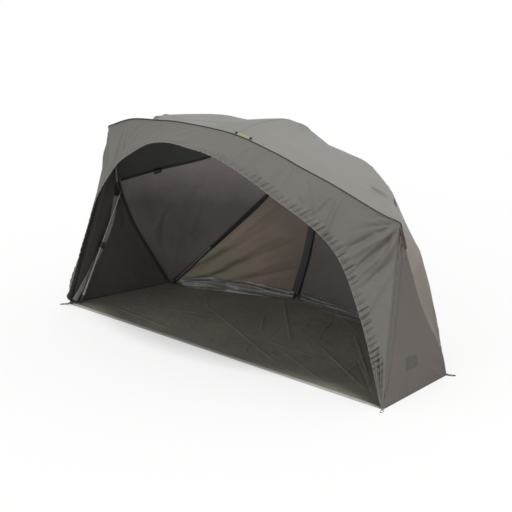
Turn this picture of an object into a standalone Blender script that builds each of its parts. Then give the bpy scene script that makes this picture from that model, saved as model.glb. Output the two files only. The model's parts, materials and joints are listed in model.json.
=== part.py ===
"""Oval fishing umbrella: a seven-rib shelter with walls, a peaked visor and a groundsheet.

Metres, +Z up, X across the opening, Y from the open front to the back. Every piece is first
placed with Y = 0 on the line between the two front pegs, and the whole umbrella is then moved
so that the middle of its footprint is the origin.
"""
import math

import bmesh
import bpy
from mathutils import Vector

# Overall size
HALF_WIDTH = 1.25
GROUND_DEPTH = 1.02
RIDGE_HEIGHT = 1.325
VISOR_REACH = 0.28

MERGE_DISTANCE = 0.00001

# Cloth
CLOTH = 0.0015
SHEET = 0.002
SEAM_INSET = 0.0006
SHARP_SEAM_INSET = 0.0014
SEAT_GAP = 0.0003
WALL_LIFT = 0.0006
WALL_BULGE = 0.052
WALL_BULGE_LEAN = 1.4
ROOF_SAG = 0.045
ROOF_SAG_CURVE = 1.6
REAR_BULGE = 0.02
PIPING_RADIUS = 0.003
PIPING_CLEARANCE = 0.0006
STRAP_LENGTH = 0.16
HEM_WIDTH_AT_PEG = 0.012
VISOR_FOLD_HEIGHT = 0.008
VISOR_FOLDS_A_SIDE = 5
WALL_FOLD_HEIGHT = 0.006
WALL_FOLDS = 3
PANEL_ROWS = 14
TAB_LENGTH = 0.14
TAB_WIDTH = 0.02
TAB_THICKNESS = 0.002
TAB_START = 0.004
SIDE_WALL_TOP = 0.03
LOOP_LENGTH = 0.05
LOOP_WIDTH = 0.016
LOOP_RADIUS = 0.002
LOOP_CLEARANCE = 0.0004
FRONT_LOOP_TURN = math.radians(-58)
BACK_LOOP_TURN = math.radians(30)

# Crown
POLE_TILT = math.radians(40)
CLOTH_RING_RADIUS = 0.038
CAP_RADIUS = 0.048
CAP_HEIGHT = 0.008
CAP_STUD_RADIUS = 0.007
FLANGE_RADIUS = 0.0365
FLANGE_DEPTH = 0.0148
PLATE_DEPTH = 0.003
PLATE_THICKNESS = 0.003
BOSS_RADIUS = 0.019
BOSS_LENGTH = 0.075
BOSS_CHAMFER = 0.004
HINGE_RADIUS = 0.031
HINGE_DEPTH = 0.0123
WIRE_RADIUS = 0.0012
GROOVE_CLEARANCE = 0.0004
KNUCKLE_RADIUS = 0.0036
KNUCKLE_LENGTH = 0.03
KNUCKLE_BACK = 0.0038
KNUCKLE_BORE_RADIUS = 0.0018
SLOT_WIDTH = 0.0086
SLOT_END = 0.0015
BUTTON_RADIUS = 0.005
BUTTON_PROUD = 0.005
BUTTON_DEPTH = 0.004
BUTTON_CLEARANCE = 0.0004
BUTTON_TRAVEL = 0.003
BUTTON_DOWN = 0.045
BUTTON_AZIMUTH = math.radians(40)

# Ribs
ROD_RADIUS = 0.004
ROD_CLEARANCE = 0.0004
DROP_RADIUS = 0.0055
ELBOW_RADIUS = 0.0075
ELBOW_ARM = 0.045
ELBOW_SINK = 0.02
KNEE_HEIGHT = 0.645
LEG_WALL = 0.0022
LEG_RADIUS = ROD_RADIUS + SEAT_GAP + LEG_WALL
LEG_LENGTH = 0.33
LEG_TRAVEL = 0.24
LEG_FOOT_LENGTH = 0.03
FOOT_RADIUS = 0.0105
FOOT_INSET = 0.028
REAR_FOOT_RADIUS = 0.0055

# Storm poles
SOCKET_RADIUS = 0.0085
SOCKET_DROP = 0.03
SOCKET_TURN = 0.03
HEAD_TURN = 0.016
HEAD_LENGTH = 0.03
UPPER_RADIUS = 0.006
UPPER_OVERLAP = 0.09
LOWER_RADIUS = 0.0095
LOWER_WALL = 0.002
LOWER_SHARE = 0.55
CLAMP_RADIUS = 0.0135
CLAMP_LENGTH = 0.032
CLAMP_GRIP = 0.022
LEVER_LENGTH = 0.04
LEVER_WIDTH = 0.012
LEVER_THICKNESS = 0.005
SPIKE_LENGTH = 0.05
SPIKE_TIP_RADIUS = 0.0025
SPIKE_INSET = 0.045

# Places, each as a share of the half width, the ground depth and the ridge height
CROWN_SHARES = (0.0, 0.608, 0.921)
RIDGE_SHARES = ((0.0, 0.5, 0.971), (0.0, 0.431, 0.988), (0.0, 0.353, 0.996),
                (0.0, 0.225, 1.0), (0.0, 0.157, 0.995), (0.0, 0.059, 0.989))
FRONT_SEAM_SHARES = ((0.0, 0.059, 0.989), (0.296, 0.029, 0.977), (0.456, 0.029, 0.951),
                     (0.64, 0.059, 0.908), (0.848, 0.157, 0.815), (0.928, 0.225, 0.777))
SHOULDER_SHARES = ((0.16, 0.559, 0.898), (0.32, 0.544, 0.891), (0.48, 0.529, 0.879),
                   (0.72, 0.402, 0.843), (0.8, 0.353, 0.80), (0.928, 0.225, 0.777))
SIDE_SEAM_SHARES = ((0.928, 0.225, 0.777), (0.932, 0.262, 0.649), (0.936, 0.312, 0.521),
                    (0.934, 0.364, 0.408), (0.93, 0.445, 0.28), (0.918, 0.56, 0.135),
                    (0.88, 0.647, 0.0))
FRONT_EDGE_SHARES = ((0.928, 0.225, 0.777), (0.933, 0.181, 0.566), (0.966, 0.091, 0.28),
                     (1.0, 0.0, 0.0))
EAVES_SHARES = ((0.32, 0.647, 0.785), (0.616, 0.592, 0.642), (0.828, 0.506, 0.562),
                (0.936, 0.312, 0.521))
EAVES_PLACE = SIDE_SEAM_SHARES.index(EAVES_SHARES[-1])
BACK_RIB_SHARES = ((0.2, 0.745, 0.717), (0.384, 0.794, 0.487), (0.64, 0.718, 0.232),
                   (0.88, 0.647, 0.0))
REAR_RIB_SHARES = ((0.144, 0.912, 0.566), (0.24, 0.977, 0.254), (0.344, 1.0, 0.0))
HEM_SHARES = ((0.0, 1.0, 0.988), (0.2, 0.93, 0.966), (0.416, 0.68, 0.868), (0.704, 0.143, 0.664),
              (0.86, 0.0, 0.3675))
SOCKET_SHARES = (0.896, 0.25, 0.53)
INSIDE_SHARES = (0.0, 0.45, 0.25)

ACROSS = Vector((1, 0, 0))
BACKWARD = Vector((0, 1, 0))
UP = Vector((0, 0, 1))
POLE_AXIS = Vector((0, -math.sin(POLE_TILT), -math.cos(POLE_TILT)))
CROWN_FRONT = Vector((0, -math.cos(POLE_TILT), math.sin(POLE_TILT)))
MIRROR_SIDES = {"left": -1, "right": 1}


def spot(shares):
    """A place from its shares of the overall sizes."""
    x_share, y_share, z_share = shares
    return Vector((x_share * HALF_WIDTH, y_share * GROUND_DEPTH, z_share * RIDGE_HEIGHT))


def wall_spot(shares):
    """A place on a wall, whose foot stands just above the groundsheet."""
    place = spot(shares)
    foot = SHEET + WALL_LIFT
    place.z = foot + place.z * (RIDGE_HEIGHT - foot) / RIDGE_HEIGHT
    return place


def side_of(place, side):
    """The same place on the left (-1) or right (1) half."""
    return Vector((place.x * side, place.y, place.z))


CROWN = spot(CROWN_SHARES)
INSIDE = spot(INSIDE_SHARES)


class Seam:
    """A smooth line through a few places, read by its share of the length."""

    def __init__(self, places, steps=12, centred=False):
        before = side_of(places[1], -1) if centred else places[0] * 2 - places[1]
        points = [before] + list(places) + [places[-1] * 2 - places[-2]]
        self.steps = steps
        self.points = []
        for index in range(1, len(points) - 2):
            before, start, end, after = points[index - 1:index + 3]
            for step in range(steps):
                t = step / steps
                self.points.append(0.5 * (2 * start + (end - before) * t
                                          + (2 * before - 5 * start + 4 * end - after) * t ** 2
                                          + (3 * start - before - 3 * end + after) * t ** 3))
        self.points.append(places[-1].copy())
        self.marks = [0.0]
        for start, end in zip(self.points, self.points[1:]):
            self.marks.append(self.marks[-1] + (end - start).length)
        self.length = self.marks[-1]

    def at(self, share):
        """The place at a share of the length, from 0 to 1."""
        target = min(max(share, 0.0), 1.0) * self.length
        for index in range(1, len(self.marks)):
            if self.marks[index] >= target:
                span = self.marks[index] - self.marks[index - 1]
                mix = (target - self.marks[index - 1]) / span if span else 0.0
                return self.points[index - 1].lerp(self.points[index], mix)
        return self.points[-1].copy()

    def share_of(self, number):
        """The share of the length at which one of the places lies."""
        return self.marks[number * self.steps] / self.length

    def along(self, share):
        """The direction at a share of the length."""
        share_step = 0.01
        ahead = self.at(min(share + share_step, 1))
        return (ahead - self.at(max(share - share_step, 0))).normalized()

    def raised(self, share, height):
        """The place at a share of the length, moved out of the shelter by a height."""
        place = self.at(share)
        along = self.along(share)
        away = place - INSIDE
        away -= along * away.dot(along)
        return place + away.normalized() * height


def azimuth(place):
    """The angle of a place round the crown's axis, from the front towards the right."""
    away = place - CROWN
    return math.atan2(away.dot(ACROSS), away.dot(CROWN_FRONT))


def radial(angle):
    """The direction out from the crown's axis at an angle round it."""
    return ACROSS * math.sin(angle) + CROWN_FRONT * math.cos(angle)


def ring_spot(angle, radius=CLOTH_RING_RADIUS, depth=0.0):
    """A place on a ring round the crown's axis, at a depth down it."""
    return CROWN + radial(angle) * radius + POLE_AXIS * depth


class Arc:
    """The piece of the crown's ring between two spokes, read like a seam."""

    def __init__(self, start, end):
        self.start = start
        self.end = end
        self.length = abs(end - start) * CLOTH_RING_RADIUS

    def at(self, share):
        return ring_spot(self.start + (self.end - self.start) * share)


SHOULDER_ANGLE = azimuth(spot(SHOULDER_SHARES[-1]))
BACK_ANGLE = azimuth(spot(BACK_RIB_SHARES[-1]))
REAR_ANGLE = azimuth(spot(REAR_RIB_SHARES[-1]))
EAVES_ANGLE = (SHOULDER_ANGLE + BACK_ANGLE) / 2
RIB_ANGLES = (0.0, SHOULDER_ANGLE, -SHOULDER_ANGLE, BACK_ANGLE, -BACK_ANGLE,
              REAR_ANGLE, -REAR_ANGLE)

RIDGE = Seam([ring_spot(0.0)] + [wall_spot(s) for s in RIDGE_SHARES])
SHOULDER = Seam([ring_spot(SHOULDER_ANGLE)] + [wall_spot(s) for s in SHOULDER_SHARES])
EAVES = Seam([ring_spot(EAVES_ANGLE)] + [wall_spot(s) for s in EAVES_SHARES])
BACK_RIB = Seam([ring_spot(BACK_ANGLE)] + [wall_spot(s) for s in BACK_RIB_SHARES])
REAR_RIB = Seam([ring_spot(REAR_ANGLE)] + [wall_spot(s) for s in REAR_RIB_SHARES])
FRONT_SEAM = Seam([wall_spot(s) for s in FRONT_SEAM_SHARES], centred=True)
WALL_EDGE = Seam([wall_spot(s) for s in SIDE_SEAM_SHARES])
FRONT_EDGE = Seam([wall_spot(s) for s in FRONT_EDGE_SHARES])
FRONT_PEG = FRONT_EDGE.at(1)
BACK_PEG = BACK_RIB.at(1)
REAR_PEG = REAR_RIB.at(1)
SIDE_GROUND = Seam([FRONT_PEG, FRONT_PEG.lerp(BACK_PEG, 0.5), BACK_PEG])
BACK_GROUND = Seam([BACK_PEG, BACK_PEG.lerp(REAR_PEG, 0.5), REAR_PEG])


def hem_place(shares):
    """A place on the visor's hem, whose depth is a share of the visor's reach."""
    place = wall_spot((shares[0], 0.0, shares[2]))
    place.y = -shares[1] * VISOR_REACH
    return place


HEM_END = FRONT_PEG - ACROSS * HEM_WIDTH_AT_PEG
HEM = Seam([hem_place(s) for s in HEM_SHARES] + [HEM_END], centred=True)


class Stretch:
    """A part of a seam, read as a seam of its own."""

    def __init__(self, seam, first, last):
        self.seam = seam
        self.first = first
        self.last = last
        self.length = seam.length * (last - first)

    def at(self, share):
        return self.seam.at(self.first + (self.last - self.first) * share)


class Joined:
    """Two seams end to end, read as one."""

    def __init__(self, first, second):
        self.first = first
        self.second = second
        self.length = first.length + second.length
        self.joint = first.length / self.length

    def at(self, share):
        if share <= self.joint:
            return self.first.at(share / self.joint)
        return self.second.at((share - self.joint) / (1 - self.joint))


VISOR_EDGE = Joined(FRONT_SEAM, FRONT_EDGE)
STRAP = Stretch(WALL_EDGE, 0.0, WALL_EDGE.share_of(EAVES_PLACE))
SIDE_SEAM = Stretch(WALL_EDGE, WALL_EDGE.share_of(EAVES_PLACE), 1.0)


# Scene, materials and shape helpers

for old in list(bpy.data.objects):
    bpy.data.objects.remove(old, do_unlink=True)

COLLECTION = bpy.data.collections.new("fishing_umbrella")
CUTTERS = bpy.data.collections.new("cutters")
for made in (COLLECTION, CUTTERS):
    bpy.context.scene.collection.children.link(made)

FRAME = bpy.data.objects.new("umbrella_frame", None)
COLLECTION.objects.link(FRAME)


def material(name, color, roughness, metallic=0.0):
    """A plain Principled material."""
    made = bpy.data.materials.new(name)
    made.use_nodes = True
    shader = made.node_tree.nodes["Principled BSDF"]
    shader.inputs["Base Color"].default_value = (*color, 1.0)
    shader.inputs["Roughness"].default_value = roughness
    shader.inputs["Metallic"].default_value = metallic
    made.diffuse_color = (*color, 1.0)
    return made


CANOPY_CLOTH = material("canopy_cloth", (0.27, 0.27, 0.24), 0.75)
VISOR_CLOTH = material("visor_cloth", (0.19, 0.18, 0.16), 0.8)
WALL_CLOTH = material("wall_cloth", (0.16, 0.15, 0.13), 0.8)
GROUND_CLOTH = material("ground_cloth", (0.06, 0.06, 0.045), 0.6)
WEBBING = material("webbing", (0.02, 0.02, 0.018), 0.9)
OLIVE_TAPE = material("olive_tape", (0.3, 0.32, 0.16), 0.8)
ROD_METAL = material("rod_metal", (0.03, 0.03, 0.03), 0.45, 0.6)
TUBE_METAL = material("tube_metal", (0.45, 0.45, 0.44), 0.3, 1.0)
BLACK_PLASTIC = material("black_plastic", (0.015, 0.015, 0.015), 0.5)
STEEL = material("steel", (0.5, 0.5, 0.5), 0.3, 1.0)


def place_object(name, data, look, collection=COLLECTION):
    """A named object on the umbrella's frame, with its material."""
    made = bpy.data.objects.new(name, data)
    collection.objects.link(made)
    made.parent = FRAME
    data.materials.append(look)
    return made


def aim(made, place, direction):
    """Put an object's origin at a place and its +Z along a direction."""
    made.location = place
    made.rotation_mode = "QUATERNION"
    made.rotation_quaternion = direction.to_track_quat("Z", "Y")


def tube(name, points, radius, look, resolution=2, closed=False):
    """A round rod through points, with filled ends."""
    curve = bpy.data.curves.new(name, "CURVE")
    curve.dimensions = "3D"
    curve.bevel_depth = radius
    curve.bevel_resolution = resolution
    curve.use_fill_caps = not closed
    spline = curve.splines.new("POLY")
    spline.points.add(len(points) - 1)
    for point, place in zip(spline.points, points):
        point.co = (*place, 1.0)
    spline.use_cyclic_u = closed
    spline.use_smooth = True
    return place_object(name, curve, look)


def turned(name, profile, place, direction, look, steps=20, hollow=False, collection=COLLECTION):
    """A turned piece: its profile, radius and height, runs down the outer side."""
    mesh = bpy.data.meshes.new(name)
    edges = [(i, i + 1) for i in range(len(profile) - 1)]
    if hollow:
        edges.append((len(profile) - 1, 0))
    mesh.from_pydata([(radius, 0.0, height) for radius, height in profile], edges, [])
    made = place_object(name, mesh, look, collection)
    screw = made.modifiers.new("turn", "SCREW")
    screw.steps = steps
    screw.render_steps = steps
    screw.use_merge_vertices = True
    screw.merge_threshold = MERGE_DISTANCE
    screw.use_smooth_shade = False
    aim(made, place, direction)
    return made


def cylinder(name, radius, low, high, place, direction, look, sides=20, collection=COLLECTION):
    """A plain cylinder between two heights on an axis."""
    mesh = bpy.data.meshes.new(name)
    shape = bmesh.new()
    bmesh.ops.create_cone(shape, cap_ends=True, segments=sides, radius1=radius, radius2=radius,
                          depth=high - low)
    bmesh.ops.translate(shape, vec=(0, 0, (low + high) / 2), verts=shape.verts)
    shape.to_mesh(mesh)
    shape.free()
    made = place_object(name, mesh, look, collection)
    aim(made, place, direction)
    return made


def block(name, size, place, axes, look, collection=COLLECTION):
    """A box of a size, centred at a place, its sides along three given directions."""
    mesh = bpy.data.meshes.new(name)
    shape = bmesh.new()
    bmesh.ops.create_cube(shape, size=1.0)
    for corner in shape.verts:
        x, y, z = corner.co
        corner.co = place + axes[0] * x * size[0] + axes[1] * y * size[1] + axes[2] * z * size[2]
    shape.normal_update()
    bmesh.ops.recalc_face_normals(shape, faces=shape.faces)
    shape.to_mesh(mesh)
    shape.free()
    return place_object(name, mesh, look, collection)


def cut(made, cutter, operation="DIFFERENCE"):
    """Take a hidden cutter away from a piece, or join it on."""
    cutter.hide_render = True
    cutter.display_type = "WIRE"
    change = made.modifiers.new(cutter.name, "BOOLEAN")
    change.operation = operation
    change.solver = "EXACT"
    change.object = cutter


def sheet(name, rows, look, thickness=CLOTH):
    """A cloth panel from a grid of places, with its thickness half to each side."""
    mesh = bpy.data.meshes.new(name)
    across = len(rows[0])
    verts = [place for row in rows for place in row]
    faces = []
    for i in range(len(rows) - 1):
        for j in range(across - 1):
            a = i * across + j
            faces.append((a, a + 1, a + 1 + across, a + across))
    mesh.from_pydata(verts, [], faces)
    mesh.shade_smooth()
    made = place_object(name, mesh, look)
    thick = made.modifiers.new("cloth", "SOLIDIFY")
    thick.thickness = thickness
    thick.offset = 0.0
    return made


# Cloth surfaces: each is stretched between the seams round it

def stretched(low, high, start, end, along, across):
    """A place on the surface between two long seams and the two ends that join them."""
    lofted = low.at(along).lerp(high.at(along), across)
    ruled = start.at(across).lerp(end.at(across), along)
    corners = (low.at(0).lerp(high.at(0), across)).lerp(low.at(1).lerp(high.at(1), across), along)
    return lofted + ruled - corners


def outward(surface, along, across):
    """The direction out of the shelter, square to a surface."""
    share_step = 0.02
    a = min(max(along, share_step), 1 - share_step)
    b = min(max(across, share_step), 1 - share_step)
    one = surface(a + share_step, b) - surface(a - share_step, b)
    two = surface(a, b + share_step) - surface(a, b - share_step)
    normal = one.cross(two).normalized()
    return normal if normal.dot(surface(a, b) - INSIDE) > 0 else -normal


def surface_between(low, high, start, end):
    """The surface stretched between four seams, as a function of two shares."""
    def surface(along, across):
        return stretched(low, high, start, end, along, across)
    return surface


class Point:
    """A seam of no length, where a panel runs to a corner."""

    def __init__(self, place):
        self.place = place
        self.length = 0.0

    def at(self, share):
        return self.place.copy()


class Mirrored:
    """A seam of the right half, seen on the left."""

    def __init__(self, seam):
        self.seam = seam
        self.length = seam.length

    def at(self, share):
        return side_of(self.seam.at(share), -1)


REAR_GROUND = Seam([REAR_PEG, side_of(REAR_PEG, -1).lerp(REAR_PEG, 0.5), side_of(REAR_PEG, -1)])
ROOF_FRONT = (RIDGE, SHOULDER, Arc(0, SHOULDER_ANGLE), FRONT_SEAM)
ROOF_SIDE = (SHOULDER, EAVES, Arc(SHOULDER_ANGLE, EAVES_ANGLE), STRAP)
BACK_WALL = (EAVES, BACK_RIB, Arc(EAVES_ANGLE, BACK_ANGLE), SIDE_SEAM)
REAR_WALL = (BACK_RIB, REAR_RIB, Arc(BACK_ANGLE, REAR_ANGLE), BACK_GROUND)
REAR_CENTRE = (REAR_RIB, Mirrored(REAR_RIB), Arc(REAR_ANGLE, 2 * math.pi - REAR_ANGLE),
               REAR_GROUND)
SIDE_WALL = (FRONT_EDGE, WALL_EDGE, Point(FRONT_EDGE.at(0)), SIDE_GROUND)


def seated(seam, before, after, share, radius):
    """A rod's place under a seam, clear of the panels before and after it."""
    out = outward(surface_between(*before), share, 1.0)
    if after:
        out = (out + outward(surface_between(*after), share, 0.0)) / 2
    else:
        out = outward(surface_between(*before), share, 0.0)
        out.x = 0.0
    depth = (radius + CLOTH / 2 + ROD_CLEARANCE) / out.length
    return seam.at(share) - out.normalized() * depth


def panel(name, seams, counts, look, insets, bulge=0.0, folds=None, side=1):
    """One cloth panel: seams are its two long edges and its two ends."""
    low, high = seams[:2]
    surface = surface_between(*seams)
    rows = []
    length = min(low.length, high.length)
    for i in range(counts[0] + 1):
        along = i / counts[0]
        along = min(max(along, insets[2] / length), 1 - insets[3] / length)
        width = (surface(along, 1) - surface(along, 0)).length
        row = []
        for j in range(counts[1] + 1):
            across = min(max(j / counts[1], insets[0] / width), 1 - insets[1] / width)
            place = surface(along, across)
            rise = bulge * math.sin(math.pi * along ** WALL_BULGE_LEAN) * math.sin(math.pi * across)
            if folds:
                rise += folds(along, across)
            if rise:
                place = place + outward(surface, along, across) * rise
            row.append(side_of(place, side))
        rows.append(row if side > 0 else row[::-1])
    return sheet(name, rows, look)


def roof(side, prefix):
    """The roof's half: from the ridge over the shoulder rib down to the eaves seam."""
    front_count = 9
    side_count = 5
    front_part = surface_between(*ROOF_FRONT)
    side_part = surface_between(*ROOF_SIDE)
    rows = []
    for i in range(PANEL_ROWS + 1):
        along = min(max(i / PANEL_ROWS, SEAM_INSET / RIDGE.length), 1 - SEAM_INSET / RIDGE.length)
        front_width = (front_part(along, 1) - front_part(along, 0)).length
        side_width = (side_part(along, 1) - side_part(along, 0)).length
        row = []
        for j in range(front_count):
            across = max(j / front_count, SEAM_INSET / front_width)
            sag = math.sin(math.pi * along) * math.sin(math.pi * across) ** ROOF_SAG_CURVE
            row.append(front_part(along, across)
                       - outward(front_part, along, across) * ROOF_SAG * sag)
        for j in range(side_count + 1):
            across = min(j / side_count, 1 - SEAM_INSET / side_width)
            row.append(side_part(along, across))
        rows.append([side_of(place, side) for place in row])
    sheet(prefix + "_roof", rows, CANOPY_CLOTH)


def tension_folds(along, across):
    """Soft folds that fan out from the peg at the end of a wall's seam."""
    fade = math.sin(math.pi * along) * math.sin(math.pi * across)
    return WALL_FOLD_HEIGHT * fade * math.sin(2 * math.pi * WALL_FOLDS * across)


def walls(side, prefix):
    """The wall panels of one half."""
    panel(prefix + "_back_wall", BACK_WALL, (PANEL_ROWS, 10), WALL_CLOTH,
          (SEAM_INSET, SEAM_INSET, SEAM_INSET, SHARP_SEAM_INSET), WALL_BULGE, None, side)
    panel(prefix + "_rear_wall", REAR_WALL, (PANEL_ROWS, 8), WALL_CLOTH,
          (SEAM_INSET, SEAM_INSET, SEAM_INSET, 0.0), REAR_BULGE, tension_folds, side)
    panel(prefix + "_side_wall", SIDE_WALL, (16, 6), WALL_CLOTH,
          (SHARP_SEAM_INSET, SHARP_SEAM_INSET, SIDE_WALL_TOP, 0.0), 0.0, None, side)


def visor_folds(along, across):
    """Drapes between the piped seam and the gathered hem."""
    fade = math.sin(math.pi * across / 2) * math.sin(math.pi * along) ** 0.5
    return VISOR_FOLD_HEIGHT * fade * math.sin(2 * math.pi * VISOR_FOLDS_A_SIDE * along)


def visor():
    """The visor: from the piped seam and the front edges out to the open hem."""
    half_count = 32
    across_count = 5
    start = Seam([FRONT_SEAM.at(0), FRONT_SEAM.at(0).lerp(HEM.at(0), 0.5), HEM.at(0)])
    end = Seam([FRONT_PEG, FRONT_PEG.lerp(HEM_END, 0.5), HEM_END])
    surface = surface_between(VISOR_EDGE, HEM, start, end)
    rows = []
    for i in range(-half_count, half_count + 1):
        along = abs(i) / half_count
        width = (surface(along, 1) - surface(along, 0)).length
        row = []
        for j in range(across_count + 1):
            across = max(j / across_count, SHARP_SEAM_INSET / width)
            place = surface(along, across)
            place = place + outward(surface, along, across) * visor_folds(along, across)
            row.append(side_of(place, -1 if i < 0 else 1))
        rows.append(row)
    sheet("front_visor", rows, VISOR_CLOTH)


def groundsheet():
    """The flat sheet under the shelter, with its edge under the walls."""
    half = [FRONT_PEG, BACK_PEG, REAR_PEG]
    outline = half + [side_of(place, -1) for place in reversed(half)]
    curve = bpy.data.curves.new("groundsheet", "CURVE")
    curve.dimensions = "2D"
    curve.fill_mode = "BOTH"
    curve.extrude = SHEET / 2
    spline = curve.splines.new("POLY")
    spline.points.add(len(outline) - 1)
    for point, place in zip(spline.points, outline):
        point.co = (place.x, place.y, 0.0, 1.0)
    spline.use_cyclic_u = True
    made = place_object("groundsheet", curve, GROUND_CLOTH)
    made.location.z = SHEET / 2


def trim():
    """The piped front seam with its ends down the shoulders, and the olive tab on it."""
    clear = PIPING_RADIUS + CLOTH + PIPING_CLEARANCE
    right = [FRONT_SEAM.raised(i / 12, clear) for i in range(13)]
    right += [WALL_EDGE.raised(STRAP_LENGTH / WALL_EDGE.length * i / 3, clear) for i in (1, 2, 3)]
    left = [side_of(place, -1) for place in reversed(right[1:])]
    tube("front_piping", left + right, PIPING_RADIUS, WEBBING, 1)
    surface = surface_between(*ROOF_FRONT)
    rows = []
    lift = CLOTH / 2 + TAB_THICKNESS / 2 + WALL_LIFT
    for i in range(7):
        across = (TAB_START + i / 6 * TAB_LENGTH) / FRONT_SEAM.length
        row = []
        for j in range(3):
            back = PIPING_RADIUS * 2 + j / 2 * TAB_WIDTH
            along = 1 - back / RIDGE.length
            row.append(surface(along, across) + outward(surface, along, across) * lift)
        rows.append(row)
    sheet("ridge_tab", rows, OLIVE_TAPE, TAB_THICKNESS)


def peg_loop(name, corner, turn, side):
    """A webbing loop lying on the ground outside a corner, turned from straight outwards."""
    corner = side_of(corner, side)
    away = side_of(ACROSS * math.cos(turn) + BACKWARD * math.sin(turn), side)
    middle = Vector((corner.x, corner.y, LOOP_RADIUS))
    middle += away * (LOOP_LENGTH / 2 + LOOP_RADIUS + LOOP_CLEARANCE)
    beside = UP.cross(away)
    points = []
    for i in range(14):
        angle = 2 * math.pi * i / 14
        points.append(middle + away * math.cos(angle) * LOOP_LENGTH / 2
                      + beside * math.sin(angle) * LOOP_WIDTH / 2)
    tube(name, points, LOOP_RADIUS, WEBBING, 1, True)


# Crown

def crown():
    """The hub, its cap, the hinge ring and the lock button."""
    groove = WIRE_RADIUS + GROOVE_CLEARANCE
    top = -PLATE_DEPTH
    plate = top - PLATE_THICKNESS
    profile = [(0.0, top), (FLANGE_RADIUS, top), (FLANGE_RADIUS, -FLANGE_DEPTH),
               (HINGE_RADIUS + groove, -FLANGE_DEPTH),
               (HINGE_RADIUS + groove, -HINGE_DEPTH + groove),
               (HINGE_RADIUS - groove, -HINGE_DEPTH + groove),
               (HINGE_RADIUS - groove, -FLANGE_DEPTH), (BOSS_RADIUS, -FLANGE_DEPTH),
               (BOSS_RADIUS, BOSS_CHAMFER - BOSS_LENGTH),
               (BOSS_RADIUS - BOSS_CHAMFER, -BOSS_LENGTH), (0.0, -BOSS_LENGTH)]
    boss = turned("crown_boss", profile, CROWN, -POLE_AXIS, BLACK_PLASTIC, 36)
    for index, angle in enumerate(RIB_ANGLES):
        out = radial(angle)
        sideways = POLE_AXIS.cross(out)
        inner = BOSS_RADIUS + SLOT_END
        outer = FLANGE_RADIUS + SLOT_WIDTH
        middle = CROWN + out * (inner + outer) / 2 + POLE_AXIS * (-plate + SLOT_WIDTH)
        slot = block("slot_%d" % index, (outer - inner, SLOT_WIDTH, 2 * SLOT_WIDTH), middle,
                     (out, sideways, POLE_AXIS), BLACK_PLASTIC, CUTTERS)
        cut(boss, slot)
    out = radial(BUTTON_AZIMUTH)
    middle = CROWN + POLE_AXIS * BUTTON_DOWN
    bed = BOSS_RADIUS - BUTTON_DEPTH
    hole = cylinder("button_hole", BUTTON_RADIUS + BUTTON_CLEARANCE, bed,
                    BOSS_RADIUS + BUTTON_PROUD, middle, out, BLACK_PLASTIC, 20, CUTTERS)
    cut(boss, hole)
    cylinder("lock_button", BUTTON_RADIUS, bed + SEAT_GAP + BUTTON_TRAVEL,
             BOSS_RADIUS + BUTTON_PROUD, middle, out, STEEL)
    low = CLOTH / 2 + SEAT_GAP
    cap = [(0.0, low + CAP_HEIGHT), (CAP_RADIUS * 0.5, low + CAP_HEIGHT * 0.9),
           (CAP_RADIUS * 0.85, low + CAP_HEIGHT * 0.55), (CAP_RADIUS, low + CAP_HEIGHT * 0.2),
           (CAP_RADIUS, low), (CAP_STUD_RADIUS, low), (CAP_STUD_RADIUS, top + SEAT_GAP),
           (0.0, top + SEAT_GAP)]
    turned("crown_cap", cap, CROWN, -POLE_AXIS, BLACK_PLASTIC, 24)
    points = [ring_spot(2 * math.pi * i / 40, HINGE_RADIUS, HINGE_DEPTH) for i in range(40)]
    tube("hinge_ring", points, WIRE_RADIUS, STEEL, 1, True)


def shift(place, direction, distance):
    """A place moved a distance along a direction."""
    return place + direction.normalized() * distance


def on_side(points, side):
    """Points of the right half, on the left or the right."""
    return [side_of(place, side) for place in points]


def knuckle(name, angle, first, side):
    """A rib's inner end, a shank with a cross hole for the ring: the rod's first two places."""
    pivot = ring_spot(angle, HINGE_RADIUS, HINGE_DEPTH)
    away = first - pivot
    direction = radial(angle) * away.dot(radial(angle)) + POLE_AXIS * away.dot(POLE_AXIS)
    made = cylinder(name, KNUCKLE_RADIUS, -KNUCKLE_BACK, KNUCKLE_LENGTH, side_of(pivot, side),
                    side_of(direction, side), BLACK_PLASTIC, 16)
    hole = cylinder(name + "_hole", KNUCKLE_BORE_RADIUS, -SLOT_WIDTH, SLOT_WIDTH,
                    side_of(pivot, side), POLE_AXIS.cross(radial(angle * side)), BLACK_PLASTIC,
                    12, CUTTERS)
    cut(made, hole)
    start = shift(pivot, direction, KNUCKLE_LENGTH + SEAT_GAP)
    return [start, shift(start, direction, 2 * ROD_RADIUS)]


def row_shares(first, last):
    """The shares of a seam at which the panels beside it have their rows of points."""
    return [i / PANEL_ROWS for i in range(first, last + 1)]


def front_rib():
    """The rib that runs forward under the ridge."""
    route = [seated(RIDGE, ROOF_FRONT, None, share, ROD_RADIUS)
             for share in row_shares(2, PANEL_ROWS - 1)]
    start = knuckle("front_rib_knuckle", 0.0, route[0], 1)
    tube("front_rib_rod", start + route, ROD_RADIUS, ROD_METAL)


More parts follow.
